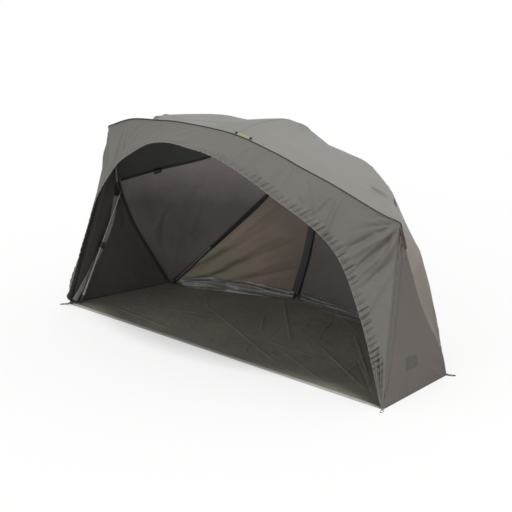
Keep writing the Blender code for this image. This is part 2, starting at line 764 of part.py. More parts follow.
def shoulder_rib(side, prefix):
    """The rib out to the shoulder, its elbow and its drop tube: where the drop tube ends."""
    corner = SHOULDER.at(1)
    corner = shift(corner, INSIDE - corner, ELBOW_SINK)
    route = [seated(SHOULDER, ROOF_FRONT, ROOF_SIDE, share, ROD_RADIUS)
             for share in row_shares(1, PANEL_ROWS - 2)]
    stop = shift(corner, route[-1] - corner, ELBOW_ARM)
    end = spot(SOCKET_SHARES)
    turn = shift(corner, end - corner, ELBOW_ARM)
    start = knuckle(prefix + "_shoulder_knuckle", SHOULDER_ANGLE, route[0], side)
    tube(prefix + "_shoulder_rod", on_side(start + route + [stop], side), ROD_RADIUS,
         ROD_METAL)
    elbow = [shift(stop, corner - stop, SEAT_GAP), corner.lerp(stop, 0.35),
             (corner * 2 + stop + turn) / 4, corner.lerp(turn, 0.35), turn]
    tube(prefix + "_shoulder_elbow", on_side(elbow, side), ELBOW_RADIUS, BLACK_PLASTIC)
    tube(prefix + "_shoulder_drop_tube",
         on_side([shift(turn, end - turn, SEAT_GAP), end], side), DROP_RADIUS, TUBE_METAL)
    return end, (end - turn).normalized()


def storm_pole(side, prefix, end, drop):
    """The shoulder rib's socket and the two-part pole from it down to the front peg.

    The socket and the pole's head meet on a face square to the rib's hinge, so the rib folds
    past the pole without touching it.
    """
    hinge = POLE_AXIS.cross(radial(SHOULDER_ANGLE)).normalized()
    if hinge.dot(FRONT_PEG - end) < 0:
        hinge = -hinge
    socket_start = shift(end, drop, SEAT_GAP)
    bend = shift(socket_start, drop, SOCKET_DROP)
    face = shift(bend, hinge, SOCKET_TURN)
    tube(prefix + "_shoulder_socket",
         on_side([socket_start, socket_start.lerp(bend, 0.7), bend.lerp(face, 0.3), face], side),
         SOCKET_RADIUS, BLACK_PLASTIC)
    tip = Vector((FRONT_PEG.x - SPIKE_INSET, SPIKE_INSET, SHEET + SPIKE_TIP_RADIUS + SEAT_GAP))
    head_start = shift(face, hinge, SEAT_GAP)
    head_bend = shift(head_start, hinge, HEAD_TURN)
    pole = (tip - head_bend).normalized()
    head_end = shift(head_bend, pole, HEAD_LENGTH)
    tube(prefix + "_pole_head",
         on_side([head_start, head_start.lerp(head_bend, 0.6), head_bend.lerp(head_end, 0.35),
                  head_end], side), SOCKET_RADIUS, BLACK_PLASTIC)
    spike_top = shift(tip, -pole, SPIKE_LENGTH)
    lower_top = shift(tip, -pole, (tip - head_end).length * LOWER_SHARE)
    upper_end = shift(lower_top, pole, UPPER_OVERLAP)
    tube(prefix + "_pole_upper_tube", on_side([shift(head_end, pole, SEAT_GAP), upper_end], side),
         UPPER_RADIUS, TUBE_METAL)
    along = side_of(-pole, side)
    inner = LOWER_RADIUS - LOWER_WALL
    length = (spike_top - lower_top).length - SEAT_GAP
    turned(prefix + "_pole_lower_tube",
           [(LOWER_RADIUS, 0.0), (LOWER_RADIUS, -length), (inner, -length), (inner, 0.0)],
           side_of(lower_top, side), along, TUBE_METAL, 16, True)
    bore = LOWER_RADIUS + SEAT_GAP
    neck = UPPER_RADIUS + SEAT_GAP
    top = CLAMP_LENGTH - CLAMP_GRIP
    turned(prefix + "_pole_clamp",
           [(CLAMP_RADIUS, top), (CLAMP_RADIUS, -CLAMP_GRIP), (bore, -CLAMP_GRIP),
            (bore, SEAT_GAP), (neck, SEAT_GAP), (neck, top)],
           side_of(lower_top, side), along, BLACK_PLASTIC, 20, True)
    inward = INSIDE - lower_top
    inward = (inward - pole * inward.dot(pole)).normalized()
    middle = lower_top + inward * (CLAMP_RADIUS + SEAT_GAP + LEVER_THICKNESS / 2)
    middle += pole * (LEVER_LENGTH / 2 - LEVER_THICKNESS - CLAMP_LENGTH + CLAMP_GRIP)
    axes = on_side([pole, pole.cross(inward), inward], side)
    lever = block(prefix + "_pole_lever", (LEVER_LENGTH, LEVER_WIDTH, LEVER_THICKNESS),
                  side_of(middle, side), axes, BLACK_PLASTIC)
    soften(lever, LEVER_THICKNESS * 0.3)
    turned(prefix + "_pole_spike",
           [(0.0, SPIKE_LENGTH), (LOWER_RADIUS, SPIKE_LENGTH), (LOWER_RADIUS, SPIKE_LENGTH * 0.6),
            (SPIKE_TIP_RADIUS, SPIKE_TIP_RADIUS * 0.3), (0.0, 0.0)],
           side_of(tip, side), along, BLACK_PLASTIC, 16)


def soften(made, width):
    """Round a piece's edges."""
    edges = made.modifiers.new("edges", "BEVEL")
    edges.width = width
    edges.segments = 2
    edges.limit_method = "ANGLE"


def back_rib(side, prefix):
    """The rib to the back corner, with a telescopic leg that slides up its straight end."""
    knee_share = share_at_height(BACK_RIB, KNEE_HEIGHT)
    route = [seated(BACK_RIB, BACK_WALL, REAR_WALL, share, LEG_RADIUS)
             for share in row_shares(1, int(knee_share * PANEL_ROWS))]
    knee = route[-1]
    foot = BACK_PEG.copy()
    towards = INSIDE - foot
    towards.z = 0.0
    foot = shift(foot, towards, FOOT_INSET)
    foot.z = SHEET + FOOT_RADIUS * 0.75
    line = (foot - knee).normalized()
    leg_low = shift(foot, -line, LEG_FOOT_LENGTH)
    start = knuckle(prefix + "_back_knuckle", BACK_ANGLE, route[0], side)
    end = shift(leg_low, -line, LEG_TRAVEL + SEAT_GAP)
    tube(prefix + "_back_rod", on_side(start + route + [end], side), ROD_RADIUS, ROD_METAL)
    inner = LEG_RADIUS - LEG_WALL
    turned(prefix + "_back_leg",
           [(LEG_RADIUS, LEG_LENGTH), (LEG_RADIUS, 0.0), (inner, 0.0), (inner, LEG_LENGTH)],
           side_of(leg_low, side), side_of(-line, side), TUBE_METAL, 16, True)
    turned(prefix + "_back_foot",
           [(0.0, LEG_FOOT_LENGTH - SEAT_GAP), (FOOT_RADIUS, LEG_FOOT_LENGTH - SEAT_GAP),
            (FOOT_RADIUS, FOOT_RADIUS * 0.4), (FOOT_RADIUS * 0.75, 0.0), (0.0, 0.0)],
           side_of(foot, side), side_of(-line, side), BLACK_PLASTIC, 16)


def share_at_height(seam, height):
    """The share of a falling seam's length at which it passes a height."""
    low = 0.0
    high = 1.0
    for _ in range(40):
        middle = (low + high) / 2
        if seam.at(middle).z > height:
            low = middle
        else:
            high = middle
    return (low + high) / 2


def rear_rib(side, prefix):
    """The rib that runs down the back wall, on a small foot."""
    route = [seated(REAR_RIB, REAR_WALL, REAR_CENTRE, share, REAR_FOOT_RADIUS)
             for share in row_shares(1, PANEL_ROWS - 1)]
    line = (route[-1] - route[-2]).normalized()
    start = knuckle(prefix + "_rear_knuckle", REAR_ANGLE, route[0], side)
    tube(prefix + "_rear_rod", on_side(start + route, side), ROD_RADIUS, ROD_METAL)
    foot = shift(route[-1], line, SEAT_GAP)
    drop = foot.z - SHEET - SEAT_GAP - REAR_FOOT_RADIUS / 2
    tube(prefix + "_rear_foot", on_side([foot, shift(foot, line, drop / abs(line.z))], side),
         REAR_FOOT_RADIUS, BLACK_PLASTIC)


def centre_on_base():
    """Move the whole umbrella so that the middle of its footprint is the origin."""
    bpy.context.view_layer.update()
    graph = bpy.context.evaluated_depsgraph_get()
    low = [math.inf] * 3
    high = [-math.inf] * 3
    for made in COLLECTION.objects:
        if made.type == "EMPTY":
            continue
        evaluated = made.evaluated_get(graph)
        mesh = evaluated.to_mesh()
        for vertex in mesh.vertices:
            place = evaluated.matrix_world @ vertex.co
            for axis in range(3):
                low[axis] = min(low[axis], place[axis])
                high[axis] = max(high[axis], place[axis])
        evaluated.to_mesh_clear()
    FRAME.location = (-(low[0] + high[0]) / 2, -(low[1] + high[1]) / 2, -low[2])


def main():
    crown()
    front_rib()
    for prefix, side in MIRROR_SIDES.items():
        end, drop = shoulder_rib(side, prefix)
        storm_pole(side, prefix, end, drop)
        back_rib(side, prefix)
        rear_rib(side, prefix)
        roof(side, prefix)
        walls(side, prefix)
        peg_loop(prefix + "_front_loop", FRONT_PEG, FRONT_LOOP_TURN, side)
        peg_loop(prefix + "_back_loop", BACK_PEG, BACK_LOOP_TURN, side)
    panel("rear_centre_wall", REAR_CENTRE, (PANEL_ROWS, 8), WALL_CLOTH,
          (SEAM_INSET, SEAM_INSET, SEAM_INSET, 0.0), REAR_BULGE)
    visor()
    groundsheet()
    trim()
    centre_on_base()


main()
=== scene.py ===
"""Looks of the oval fishing umbrella: its cloth, trim, frame finishes, stage, light and camera.

Metres, +Z up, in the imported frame: X across the opening, Y from the open front to the back.
The cloth is stretched between the same seams as the solids, at a finer step, and then takes
its folds, gathers and wrinkles.
"""
import json
import math

import bpy
import numpy as np
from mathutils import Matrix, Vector


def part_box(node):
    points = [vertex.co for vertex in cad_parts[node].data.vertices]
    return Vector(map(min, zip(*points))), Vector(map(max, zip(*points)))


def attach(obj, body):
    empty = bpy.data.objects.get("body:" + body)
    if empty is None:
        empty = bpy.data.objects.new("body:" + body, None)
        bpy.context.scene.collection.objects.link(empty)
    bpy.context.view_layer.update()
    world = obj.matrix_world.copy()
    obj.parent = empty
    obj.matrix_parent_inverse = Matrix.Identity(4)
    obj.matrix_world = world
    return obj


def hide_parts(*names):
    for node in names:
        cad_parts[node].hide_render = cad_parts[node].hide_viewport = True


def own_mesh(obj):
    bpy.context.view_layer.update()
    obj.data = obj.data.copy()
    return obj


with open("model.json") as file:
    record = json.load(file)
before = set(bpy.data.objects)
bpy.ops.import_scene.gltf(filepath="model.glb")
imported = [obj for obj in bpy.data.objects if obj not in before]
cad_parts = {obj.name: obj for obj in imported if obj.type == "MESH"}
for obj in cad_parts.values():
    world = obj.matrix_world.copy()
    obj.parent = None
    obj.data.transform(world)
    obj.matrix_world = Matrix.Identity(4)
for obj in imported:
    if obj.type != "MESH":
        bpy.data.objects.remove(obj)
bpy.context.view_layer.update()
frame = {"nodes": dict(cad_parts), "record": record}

# Overall sizes: the ground's come from the frame, the others are those of the solids
GROUND_LOW, GROUND_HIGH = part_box("groundsheet")
HALF_WIDTH = GROUND_HIGH.x
GROUND_DEPTH = GROUND_HIGH.y - GROUND_LOW.y
FRONT_LINE = GROUND_LOW.y
SHEET = GROUND_HIGH.z - GROUND_LOW.z
RIDGE_HEIGHT = 1.325
VISOR_REACH = 0.28

# Cloth
CLOTH = 0.0007
WALL_LIFT = 0.0006
WALL_BULGE = 0.052
WALL_BULGE_LEAN = 1.4
ROOF_SAG = 0.045
ROOF_SAG_CURVE = 1.6
REAR_BULGE = 0.02
SIDE_WALL_TOP = 0.03
HEM_WIDTH_AT_PEG = 0.012

# Crown
POLE_TILT = math.radians(40)
CLOTH_RING_RADIUS = 0.038

# Ribs
ROD_RADIUS = 0.004
ROD_CLEARANCE = 0.0004
CAD_CLOTH = 0.0015

# Places, each as a share of the half width, the ground depth and the ridge height
CROWN_SHARES = (0.0, 0.608, 0.921)
RIDGE_SHARES = ((0.0, 0.5, 0.971), (0.0, 0.431, 0.988), (0.0, 0.353, 0.996),
                (0.0, 0.225, 1.0), (0.0, 0.157, 0.995), (0.0, 0.059, 0.989))
FRONT_SEAM_SHARES = ((0.0, 0.059, 0.989), (0.296, 0.029, 0.977), (0.456, 0.029, 0.951),
                     (0.64, 0.059, 0.908), (0.848, 0.157, 0.815), (0.928, 0.225, 0.777))
SHOULDER_SHARES = ((0.16, 0.559, 0.898), (0.32, 0.544, 0.891), (0.48, 0.529, 0.879),
                   (0.72, 0.402, 0.843), (0.8, 0.353, 0.80), (0.928, 0.225, 0.777))
SIDE_SEAM_SHARES = ((0.928, 0.225, 0.777), (0.932, 0.262, 0.649), (0.936, 0.312, 0.521),
                    (0.934, 0.364, 0.408), (0.93, 0.445, 0.28), (0.918, 0.56, 0.135),
                    (0.88, 0.647, 0.0))
FRONT_EDGE_SHARES = ((0.928, 0.225, 0.777), (0.933, 0.181, 0.566), (0.966, 0.091, 0.28),
                     (1.0, 0.0, 0.0))
EAVES_SHARES = ((0.32, 0.647, 0.785), (0.616, 0.592, 0.642), (0.828, 0.506, 0.562),
                (0.936, 0.312, 0.521))
EAVES_PLACE = SIDE_SEAM_SHARES.index(EAVES_SHARES[-1])
BACK_RIB_SHARES = ((0.2, 0.745, 0.717), (0.384, 0.794, 0.487), (0.64, 0.718, 0.232),
                   (0.88, 0.647, 0.0))
REAR_RIB_SHARES = ((0.144, 0.912, 0.566), (0.24, 0.977, 0.254), (0.344, 1.0, 0.0))
HEM_SHARES = ((0.0, 1.0, 0.988), (0.2, 0.93, 0.966), (0.416, 0.68, 0.868),
              (0.704, 0.143, 0.664), (0.86, 0.0, 0.3675))
INSIDE_SHARES = (0.0, 0.45, 0.25)

ACROSS = np.array((1.0, 0.0, 0.0))
BACKWARD = np.array((0.0, 1.0, 0.0))
UP = np.array((0.0, 0.0, 1.0))
POLE_AXIS = np.array((0.0, -math.sin(POLE_TILT), -math.cos(POLE_TILT)))
CROWN_FRONT = np.array((0.0, -math.cos(POLE_TILT), math.sin(POLE_TILT)))
SIDES = {"left": -1.0, "right": 1.0}
MIRROR = np.array((-1.0, 1.0, 1.0))


# Seams

def spot(shares):
    """A place from its shares of the overall sizes."""
    return np.array((shares[0] * HALF_WIDTH, FRONT_LINE + shares[1] * GROUND_DEPTH,
                     shares[2] * RIDGE_HEIGHT))


def wall_spot(shares):
    """A place on a wall, whose foot stands just above the groundsheet."""
    place = spot(shares)
    foot = SHEET + WALL_LIFT
    place[2] = foot + place[2] * (RIDGE_HEIGHT - foot) / RIDGE_HEIGHT
    return place


CROWN = spot(CROWN_SHARES)
INSIDE = spot(INSIDE_SHARES)


def unit(vector):
    """A vector, or a row of them, made one long."""
    length = np.linalg.norm(vector, axis=-1, keepdims=True)
    return vector / np.maximum(length, 1e-12)


def square_to(vector, along):
    """The unit part of a vector, or of each in a row, that is square to another."""
    return unit(vector - along * np.sum(vector * along, axis=-1, keepdims=True))


def flip_of(sign):
    """What a place of the right half is multiplied by on the right (1) or the left (-1)."""
    return MIRROR if sign < 0 else np.ones(3)


SEAM_STEPS = 24


class Seam:
    """A smooth line through a few places, read by its share of the length."""

    def __init__(self, places, centred=False):
        places = [np.array(place, float) for place in places]
        before = places[1] * MIRROR if centred else places[0] * 2 - places[1]
        points = [before] + places + [places[-1] * 2 - places[-2]]
        line = []
        for index in range(1, len(points) - 2):
            before, start, end, after = points[index - 1:index + 3]
            for step in range(SEAM_STEPS):
                t = step / SEAM_STEPS
                line.append(0.5 * (2 * start + (end - before) * t
                                   + (2 * before - 5 * start + 4 * end - after) * t ** 2
                                   + (3 * start - before - 3 * end + after) * t ** 3))
        line.append(places[-1])
        self.points = np.array(line)
        spans = np.linalg.norm(np.diff(self.points, axis=0), axis=1)
        self.marks = np.concatenate(([0.0], np.cumsum(spans)))
        self.length = self.marks[-1]

    def at(self, share):
        """The places at shares of the length, from 0 to 1."""
        target = np.clip(share, 0.0, 1.0) * self.length
        return np.stack([np.interp(target, self.marks, self.points[:, axis])
                         for axis in range(3)], axis=-1)

    def share_of(self, number):
        """The share of the length at which one of the places lies."""
        return self.marks[number * SEAM_STEPS] / self.length


def azimuth(place):
    """The angle of a place round the crown's axis, from the front towards the right."""
    away = place - CROWN
    return math.atan2(away @ ACROSS, away @ CROWN_FRONT)


def ring_spot(angle, radius=CLOTH_RING_RADIUS):
    """Places on a ring round the crown's axis."""
    angle = np.asarray(angle, float)[..., None]
    out = ACROSS * np.sin(angle) + CROWN_FRONT * np.cos(angle)
    return CROWN + out * radius


class Line:
    """A line read like a seam, from a function of the share of its length."""

    def __init__(self, at, length=0.0):
        self.at = at
        self.length = length


def arc(start, end):
    """The piece of the crown's ring between two spokes."""
    return Line(lambda share: ring_spot(start + (end - start) * np.asarray(share, float)),
                abs(end - start) * CLOTH_RING_RADIUS)


def stretch(seam, first, last):
    """A part of a seam, read as a seam of its own."""
    return Line(lambda share: seam.at(first + (last - first) * np.asarray(share, float)),
                seam.length * (last - first))


def joined(first, second):
    """Two seams end to end, read as one."""
    length = first.length + second.length
    joint = first.length / length

    def at(share):
        share = np.asarray(share, float)
        one = first.at(share / joint)
        two = second.at((share - joint) / (1 - joint))
        return np.where((share <= joint)[..., None], one, two)

    return Line(at, length)


def point(place):
    """A seam of no length, where a panel runs to a corner."""
    return Line(lambda share: np.broadcast_to(place, np.shape(share) + (3,)))


def mirrored(seam):
    """A seam of the right half, seen on the left."""
    return Line(lambda share: seam.at(share) * MIRROR, seam.length)


SHOULDER_ANGLE = azimuth(spot(SHOULDER_SHARES[-1]))
BACK_ANGLE = azimuth(spot(BACK_RIB_SHARES[-1]))
REAR_ANGLE = azimuth(spot(REAR_RIB_SHARES[-1]))
EAVES_ANGLE = (SHOULDER_ANGLE + BACK_ANGLE) / 2

RIDGE = Seam([ring_spot(0.0)] + [wall_spot(s) for s in RIDGE_SHARES])
SHOULDER = Seam([ring_spot(SHOULDER_ANGLE)] + [wall_spot(s) for s in SHOULDER_SHARES])
EAVES = Seam([ring_spot(EAVES_ANGLE)] + [wall_spot(s) for s in EAVES_SHARES])
BACK_RIB = Seam([ring_spot(BACK_ANGLE)] + [wall_spot(s) for s in BACK_RIB_SHARES])
REAR_RIB = Seam([ring_spot(REAR_ANGLE)] + [wall_spot(s) for s in REAR_RIB_SHARES])
FRONT_SEAM = Seam([wall_spot(s) for s in FRONT_SEAM_SHARES], centred=True)
WALL_EDGE = Seam([wall_spot(s) for s in SIDE_SEAM_SHARES])
FRONT_EDGE = Seam([wall_spot(s) for s in FRONT_EDGE_SHARES])
SHOULDER_CORNER = FRONT_EDGE.at(0.0)
FRONT_PEG = FRONT_EDGE.at(1.0)
BACK_PEG = BACK_RIB.at(1.0)
REAR_PEG = REAR_RIB.at(1.0)
SIDE_GROUND = Seam([FRONT_PEG, (FRONT_PEG + BACK_PEG) / 2, BACK_PEG])
BACK_GROUND = Seam([BACK_PEG, (BACK_PEG + REAR_PEG) / 2, REAR_PEG])
REAR_GROUND = Seam([REAR_PEG, REAR_PEG * (0.0, 1.0, 1.0), REAR_PEG * MIRROR])


def hem_place(shares):
    """A place on the visor's hem, whose depth is a share of the visor's reach."""
    place = wall_spot((shares[0], 0.0, shares[2]))
    place[1] = FRONT_LINE - shares[1] * VISOR_REACH
    return place


HEM_END = FRONT_PEG - ACROSS * HEM_WIDTH_AT_PEG
HEM = Seam([hem_place(s) for s in HEM_SHARES] + [HEM_END], centred=True)
VISOR_EDGE = joined(FRONT_SEAM, FRONT_EDGE)
VISOR_JOINT = FRONT_SEAM.length / VISOR_EDGE.length
STRAP = stretch(WALL_EDGE, 0.0, WALL_EDGE.share_of(EAVES_PLACE))
SIDE_SEAM = stretch(WALL_EDGE, WALL_EDGE.share_of(EAVES_PLACE), 1.0)

ROOF_FRONT = (RIDGE, SHOULDER, arc(0.0, SHOULDER_ANGLE), FRONT_SEAM)
ROOF_SIDE = (SHOULDER, EAVES, arc(SHOULDER_ANGLE, EAVES_ANGLE), STRAP)
BACK_WALL = (EAVES, BACK_RIB, arc(EAVES_ANGLE, BACK_ANGLE), SIDE_SEAM)
REAR_WALL = (BACK_RIB, REAR_RIB, arc(BACK_ANGLE, REAR_ANGLE), BACK_GROUND)
REAR_CENTRE = (REAR_RIB, mirrored(REAR_RIB), arc(REAR_ANGLE, 2 * math.pi - REAR_ANGLE),
               REAR_GROUND)
SIDE_WALL = (FRONT_EDGE, WALL_EDGE, point(SHOULDER_CORNER), SIDE_GROUND)


# Materials

class Nodes:
    """A node tree, with short ways to add and join nodes."""

    def __init__(self, tree):
        self.tree = tree

    def join(self, source, target):
        """Feed a socket from another socket, or set it to a value."""
        if hasattr(source, "is_output"):
            self.tree.links.new(source, target)
        else:
            target.default_value = source

    def add(self, kind, **sockets):
        """A new node, with some of its inputs fed or set."""
        node = self.tree.nodes.new("ShaderNode" + kind)
        for socket, value in sockets.items():
            self.join(value, node.inputs[socket])
        return node

    def blend(self, factor, first, second):
        """A shader between two."""
        node = self.add("MixShader")
        for source, target in zip((factor, first, second), node.inputs):
            self.join(source, target)
        return node.outputs[0]

    def math(self, operation, *values):
        """A Math node's result."""
        node = self.add("Math")
        node.operation = operation
        for value, target in zip(values, node.inputs):
            self.join(value, target)
        return node.outputs[0]


class Look(Nodes):
    """A new material."""

    def __init__(self, name, **sockets):
        self.made = bpy.data.materials.new(name)
        self.made.use_nodes = True
        super().__init__(self.made.node_tree)
        self.shader = self.tree.nodes["Principled BSDF"]
        for socket, value in sockets.items():
            self.shader.inputs[socket.replace("_", " ")].default_value = value

    def finish(self, source, socket):
        """Feed one of the shader's sockets."""
        self.tree.links.new(source, self.shader.inputs[socket])

    def uv(self):
        """The two UV values, in metres."""
        split = self.add("SeparateXYZ", Vector=self.add("UVMap").outputs["UV"])
        return split.outputs["X"], split.outputs["Y"]

    def place(self, stretch=(1.0, 1.0, 1.0)):
        """The place on the object, stretched along an axis if asked."""
        here = self.add("TexCoord").outputs["Object"]
        return self.add("Mapping", Scale=stretch, Vector=here).outputs["Vector"]

    def noise(self, place, scale, detail=3.0, roughness=0.55):
        """A noise texture's value."""
        node = self.add("TexNoise", Vector=place, Scale=scale, Detail=detail,
                        Roughness=roughness)
        return node.outputs["Fac"]

    def ramp(self, value, low, high, to_low=0.0, to_high=1.0):
        """A value carried from one range to another, kept inside it."""
        node = self.add("MapRange")
        for target, number in zip(node.inputs, (value, low, high, to_low, to_high)):
            self.join(number, target)
        return node.outputs["Result"]

    def mix(self, factor, first, second):
        """A colour between two, each a colour or a socket."""
        node = self.add("Mix")
        node.data_type = "RGBA"
        colours = [c if hasattr(c, "is_output") else (*c, 1.0) for c in (first, second)]
        self.join(factor, node.inputs[0])
        self.join(colours[0], node.inputs[6])
        self.join(colours[1], node.inputs[7])
        return node.outputs[2]

    def bump(self, height, distance, strength=0.5, normal=None):
        """A bump of a height in metres, on top of another if given."""
        node = self.add("Bump", Height=height, Distance=distance, Strength=strength)
        if normal is not None:
            self.join(normal, node.inputs["Normal"])
        return node.outputs["Normal"]


def spread_of(color, spread):
    """A colour made darker and lighter by a share."""
    return [c * (1 - spread) for c in color], [min(1.0, c * (1 + spread)) for c in color]


THREAD = 0.0011
WEAVE_HEIGHT = 0.00018
WEAVE_STRENGTH = 0.6
CRUMPLE_HEIGHT = 0.012
CREASE_HEIGHT = 0.004
CREASE_SPREAD = 0.045
TURNING_BLUR = 0.15
TAPE_SPREAD = 0.2
METAL_SPREAD = 0.25
PLASTIC_SPREAD = 0.3
PLASTIC_ROUGHNESS = 0.5

# Noises, each as its scale, detail and roughness where it isn't the usual one
BLOTCHES = (6.0, 4.0, 0.6)
SPECKLES = (240.0, 2.0)
SECOND_COLOR = (2.1, 2.0)
CRUMPLES = (16.0, 5.0)
CREASES = (5.0, 2.0, 0.4)
TAPE_GRAIN = (150.0,)
DRAWN_MARKS = (480.0, 4.0, 0.7)
WORN_METAL = (60.0, 5.0)
MOULDED_GRAIN = (900.0, 2.0)
RUBBED_PLASTIC = (45.0, 4.0)


def cloth_look(name, color, roughness, second=None, spread=0.07, sheen=0.04, crumple=0.3,
               gloss=0.22, turning=None):
    """Coated woven cloth: a plain weave, soft blotches, slight creasing and a little sheen.

    UV is in metres. A second colour comes and goes over about half a metre. turning is a
    colour that the cloth turns to, the axis (X, Y or Z) that it turns along, measured from
    the middle, and the places where it starts and ends.
    """
    look = Look(name, Roughness=roughness, Sheen_Weight=sheen, Sheen_Roughness=0.5,
                Specular_IOR_Level=gloss)
    along, across = look.uv()
    turn = math.pi / THREAD
    weave = look.math("MULTIPLY", look.math("SINE", look.math("MULTIPLY", along, turn)),
                      look.math("SINE", look.math("MULTIPLY", across, turn)))
    place = look.place()
    blotch = look.noise(place, *BLOTCHES)
    fine = look.noise(place, *SPECKLES)
    drift = look.ramp(look.math("MULTIPLY_ADD", fine, 0.35, blotch), 0.4, 0.95)
    base = look.mix(drift, *spread_of(color, spread))
    if second:
        broad = look.ramp(look.noise(place, *SECOND_COLOR), 0.38, 0.62)
        base = look.mix(broad, base, second)
    if turning:
        split = look.add("SeparateXYZ", Vector=place)
        away = look.math("ABSOLUTE", split.outputs[turning[1]])
        away = look.math("MULTIPLY_ADD", blotch, TURNING_BLUR, away)
        base = look.mix(look.ramp(away, *turning[2:]), base, turning[0])
    look.finish(base, "Base Color")
    look.finish(look.ramp(blotch, 0.3, 0.7, roughness - 0.06, roughness + 0.08), "Roughness")
    normal = look.bump(weave, WEAVE_HEIGHT, WEAVE_STRENGTH)
    normal = look.bump(look.noise(place, *CRUMPLES), CRUMPLE_HEIGHT, crumple, normal)
    crease = look.math("ABSOLUTE", look.math("SUBTRACT", look.noise(place, *CREASES), 0.5))
    sharp = look.ramp(crease, 0.0, CREASE_SPREAD, 1.0, 0.0)
    look.finish(look.bump(sharp, CREASE_HEIGHT, crumple, normal), "Normal")
    return look.made


STITCH_LENGTH = 0.004
STITCH_SHARE = 0.7
STITCH_THREAD = 0.0006


def tape_look(name, color, rib=0.0016, stitch_color=None, stitch_place=0.0):
    """Woven tape: ribs across it, and two rows of stitches if a colour is given.

    U runs along the tape and V across it from its middle, both in metres.
    """
    look = Look(name, Roughness=0.85, Sheen_Weight=0.2, Specular_IOR_Level=0.3)
    along, across = look.uv()
    ribs = look.math("SINE", look.math("MULTIPLY", along, 2 * math.pi / rib))
    base = look.mix(look.noise(look.place(), *TAPE_GRAIN), *spread_of(color, TAPE_SPREAD))
    height = ribs
    if stitch_color:
        beside = look.math("COMPARE", look.math("ABSOLUTE", across), stitch_place,
                           STITCH_THREAD)
        part = look.math("FRACT", look.math("DIVIDE", along, STITCH_LENGTH))
        stitch = look.math("MULTIPLY", beside, look.math("LESS_THAN", part, STITCH_SHARE))
        base = look.mix(stitch, base, stitch_color)
        height = look.math("ADD", ribs, stitch)
    look.finish(base, "Base Color")
    look.finish(look.bump(height, 0.0002, 0.5), "Normal")
    return look.made


def metal_look(name, color, roughness, metallic):
    """Drawn tube or rod: faint marks along it and worn patches."""
    look = Look(name, Metallic=metallic)
    marks = look.noise(look.place((1.0, 1.0, 0.06)), *DRAWN_MARKS)
    worn = look.noise(look.place(), *WORN_METAL)
    look.finish(look.mix(worn, *spread_of(color, METAL_SPREAD)), "Base Color")
    look.finish(look.ramp(marks, 0.3, 0.7, max(0.05, roughness - 0.1), roughness + 0.15),
                "Roughness")
    look.finish(look.bump(marks, 0.0001, 0.3), "Normal")
    return look.made


def plastic_look(name, color):
    """Moulded plastic with a fine spark-eroded grain and rubbed patches."""
    look = Look(name)
    grain = look.noise(look.place(), *MOULDED_GRAIN)
    rub = look.noise(look.place(), *RUBBED_PLASTIC)
    look.finish(look.mix(rub, *spread_of(color, PLASTIC_SPREAD)), "Base Color")
    look.finish(look.ramp(rub, 0.35, 0.7, PLASTIC_ROUGHNESS - 0.1, PLASTIC_ROUGHNESS + 0.12),
                "Roughness")
    look.finish(look.bump(grain, 0.0002, 0.4), "Normal")
    return look.made


ROOF_CLOTH = cloth_look("roof_cloth", (0.247, 0.246, 0.226), 0.66, (0.263, 0.257, 0.238),
                        turning=((0.231, 0.199, 0.174), "Z", 1.04, 0.9))
# The visor's cloth is painted darker than the roof's: painted shade for a visor that hangs steeper
# than the one built here.
VISOR_CLOTH = cloth_look("visor_cloth", (0.161, 0.15, 0.137), 0.7, (0.151, 0.146, 0.129))
SIDE_CLOTH = cloth_look("side_cloth", (0.129, 0.114, 0.103), 0.7, (0.135, 0.117, 0.104))
# The back and rear walls' cloth is a lighter, warmer beige than the side wall's: partly its own
# warmer tone, partly painted light.
BACK_CLOTH = cloth_look("back_cloth", (0.215, 0.178, 0.152), 0.7, (0.179, 0.159, 0.135))
# The linings are a dark coated cloth, as the roof's and visor's show. The side, back, rear and
# centre linings are painted lighter: painted light for light coming through the walls, as the
# cloth here lets none through.
ROOF_LINING = cloth_look("roof_lining", (0.06, 0.06, 0.053), 0.7)
VISOR_LINING = cloth_look("visor_lining", (0.052, 0.052, 0.047), 0.7)
SIDE_LINING = cloth_look("side_lining", (0.086, 0.078, 0.074), 0.7)
# Painted light: the back lining grows lighter towards the top, and the rear lining is lightest at
# its outer end and darker towards the middle.
BACK_LINING = cloth_look("back_lining", (0.111, 0.095, 0.091), 0.66, (0.137, 0.121, 0.117),
                         turning=((0.293, 0.26, 0.254), "Z", 0.6, 0.85))
REAR_LINING = cloth_look("rear_lining", (0.403, 0.312, 0.26), 0.66, (0.273, 0.247, 0.185),
                         turning=((0.215, 0.176, 0.15), "X", 0.9, 0.45))
CENTRE_LINING = cloth_look("centre_lining", (0.156, 0.14, 0.133), 0.66)
GROUND_CLOTH = cloth_look("ground_cloth", (0.272, 0.264, 0.217), 0.45, (0.232, 0.215, 0.186),
                          0.16, 0.0, 0.34, 0.35)
# The flap's pale grey is partly its own colour and partly a painted highlight for the shine along
# its folds.
FLAP_CLOTH = cloth_look("flap_cloth", (0.215, 0.215, 0.199), 0.24, None, 0.1, 0.0, 0.1, 0.7)
PATCH_CLOTH = cloth_look("patch_cloth", (0.098, 0.091, 0.082), 0.72)
# The pole band's pale grey is painted light: the lit fold of cloth beside the storm pole, on the
# dark lining.
POLE_BAND = cloth_look("pole_band", (0.338, 0.338, 0.319), 0.6)
HEM_TAPE = tape_look("hem_tape", (0.52, 0.52, 0.461), 0.0022, (0.312, 0.312, 0.273), 0.009)
ROOF_SEAM = tape_look("roof_seam", (0.244, 0.239, 0.221), 0.0016, (0.169, 0.163, 0.15), 0.003)
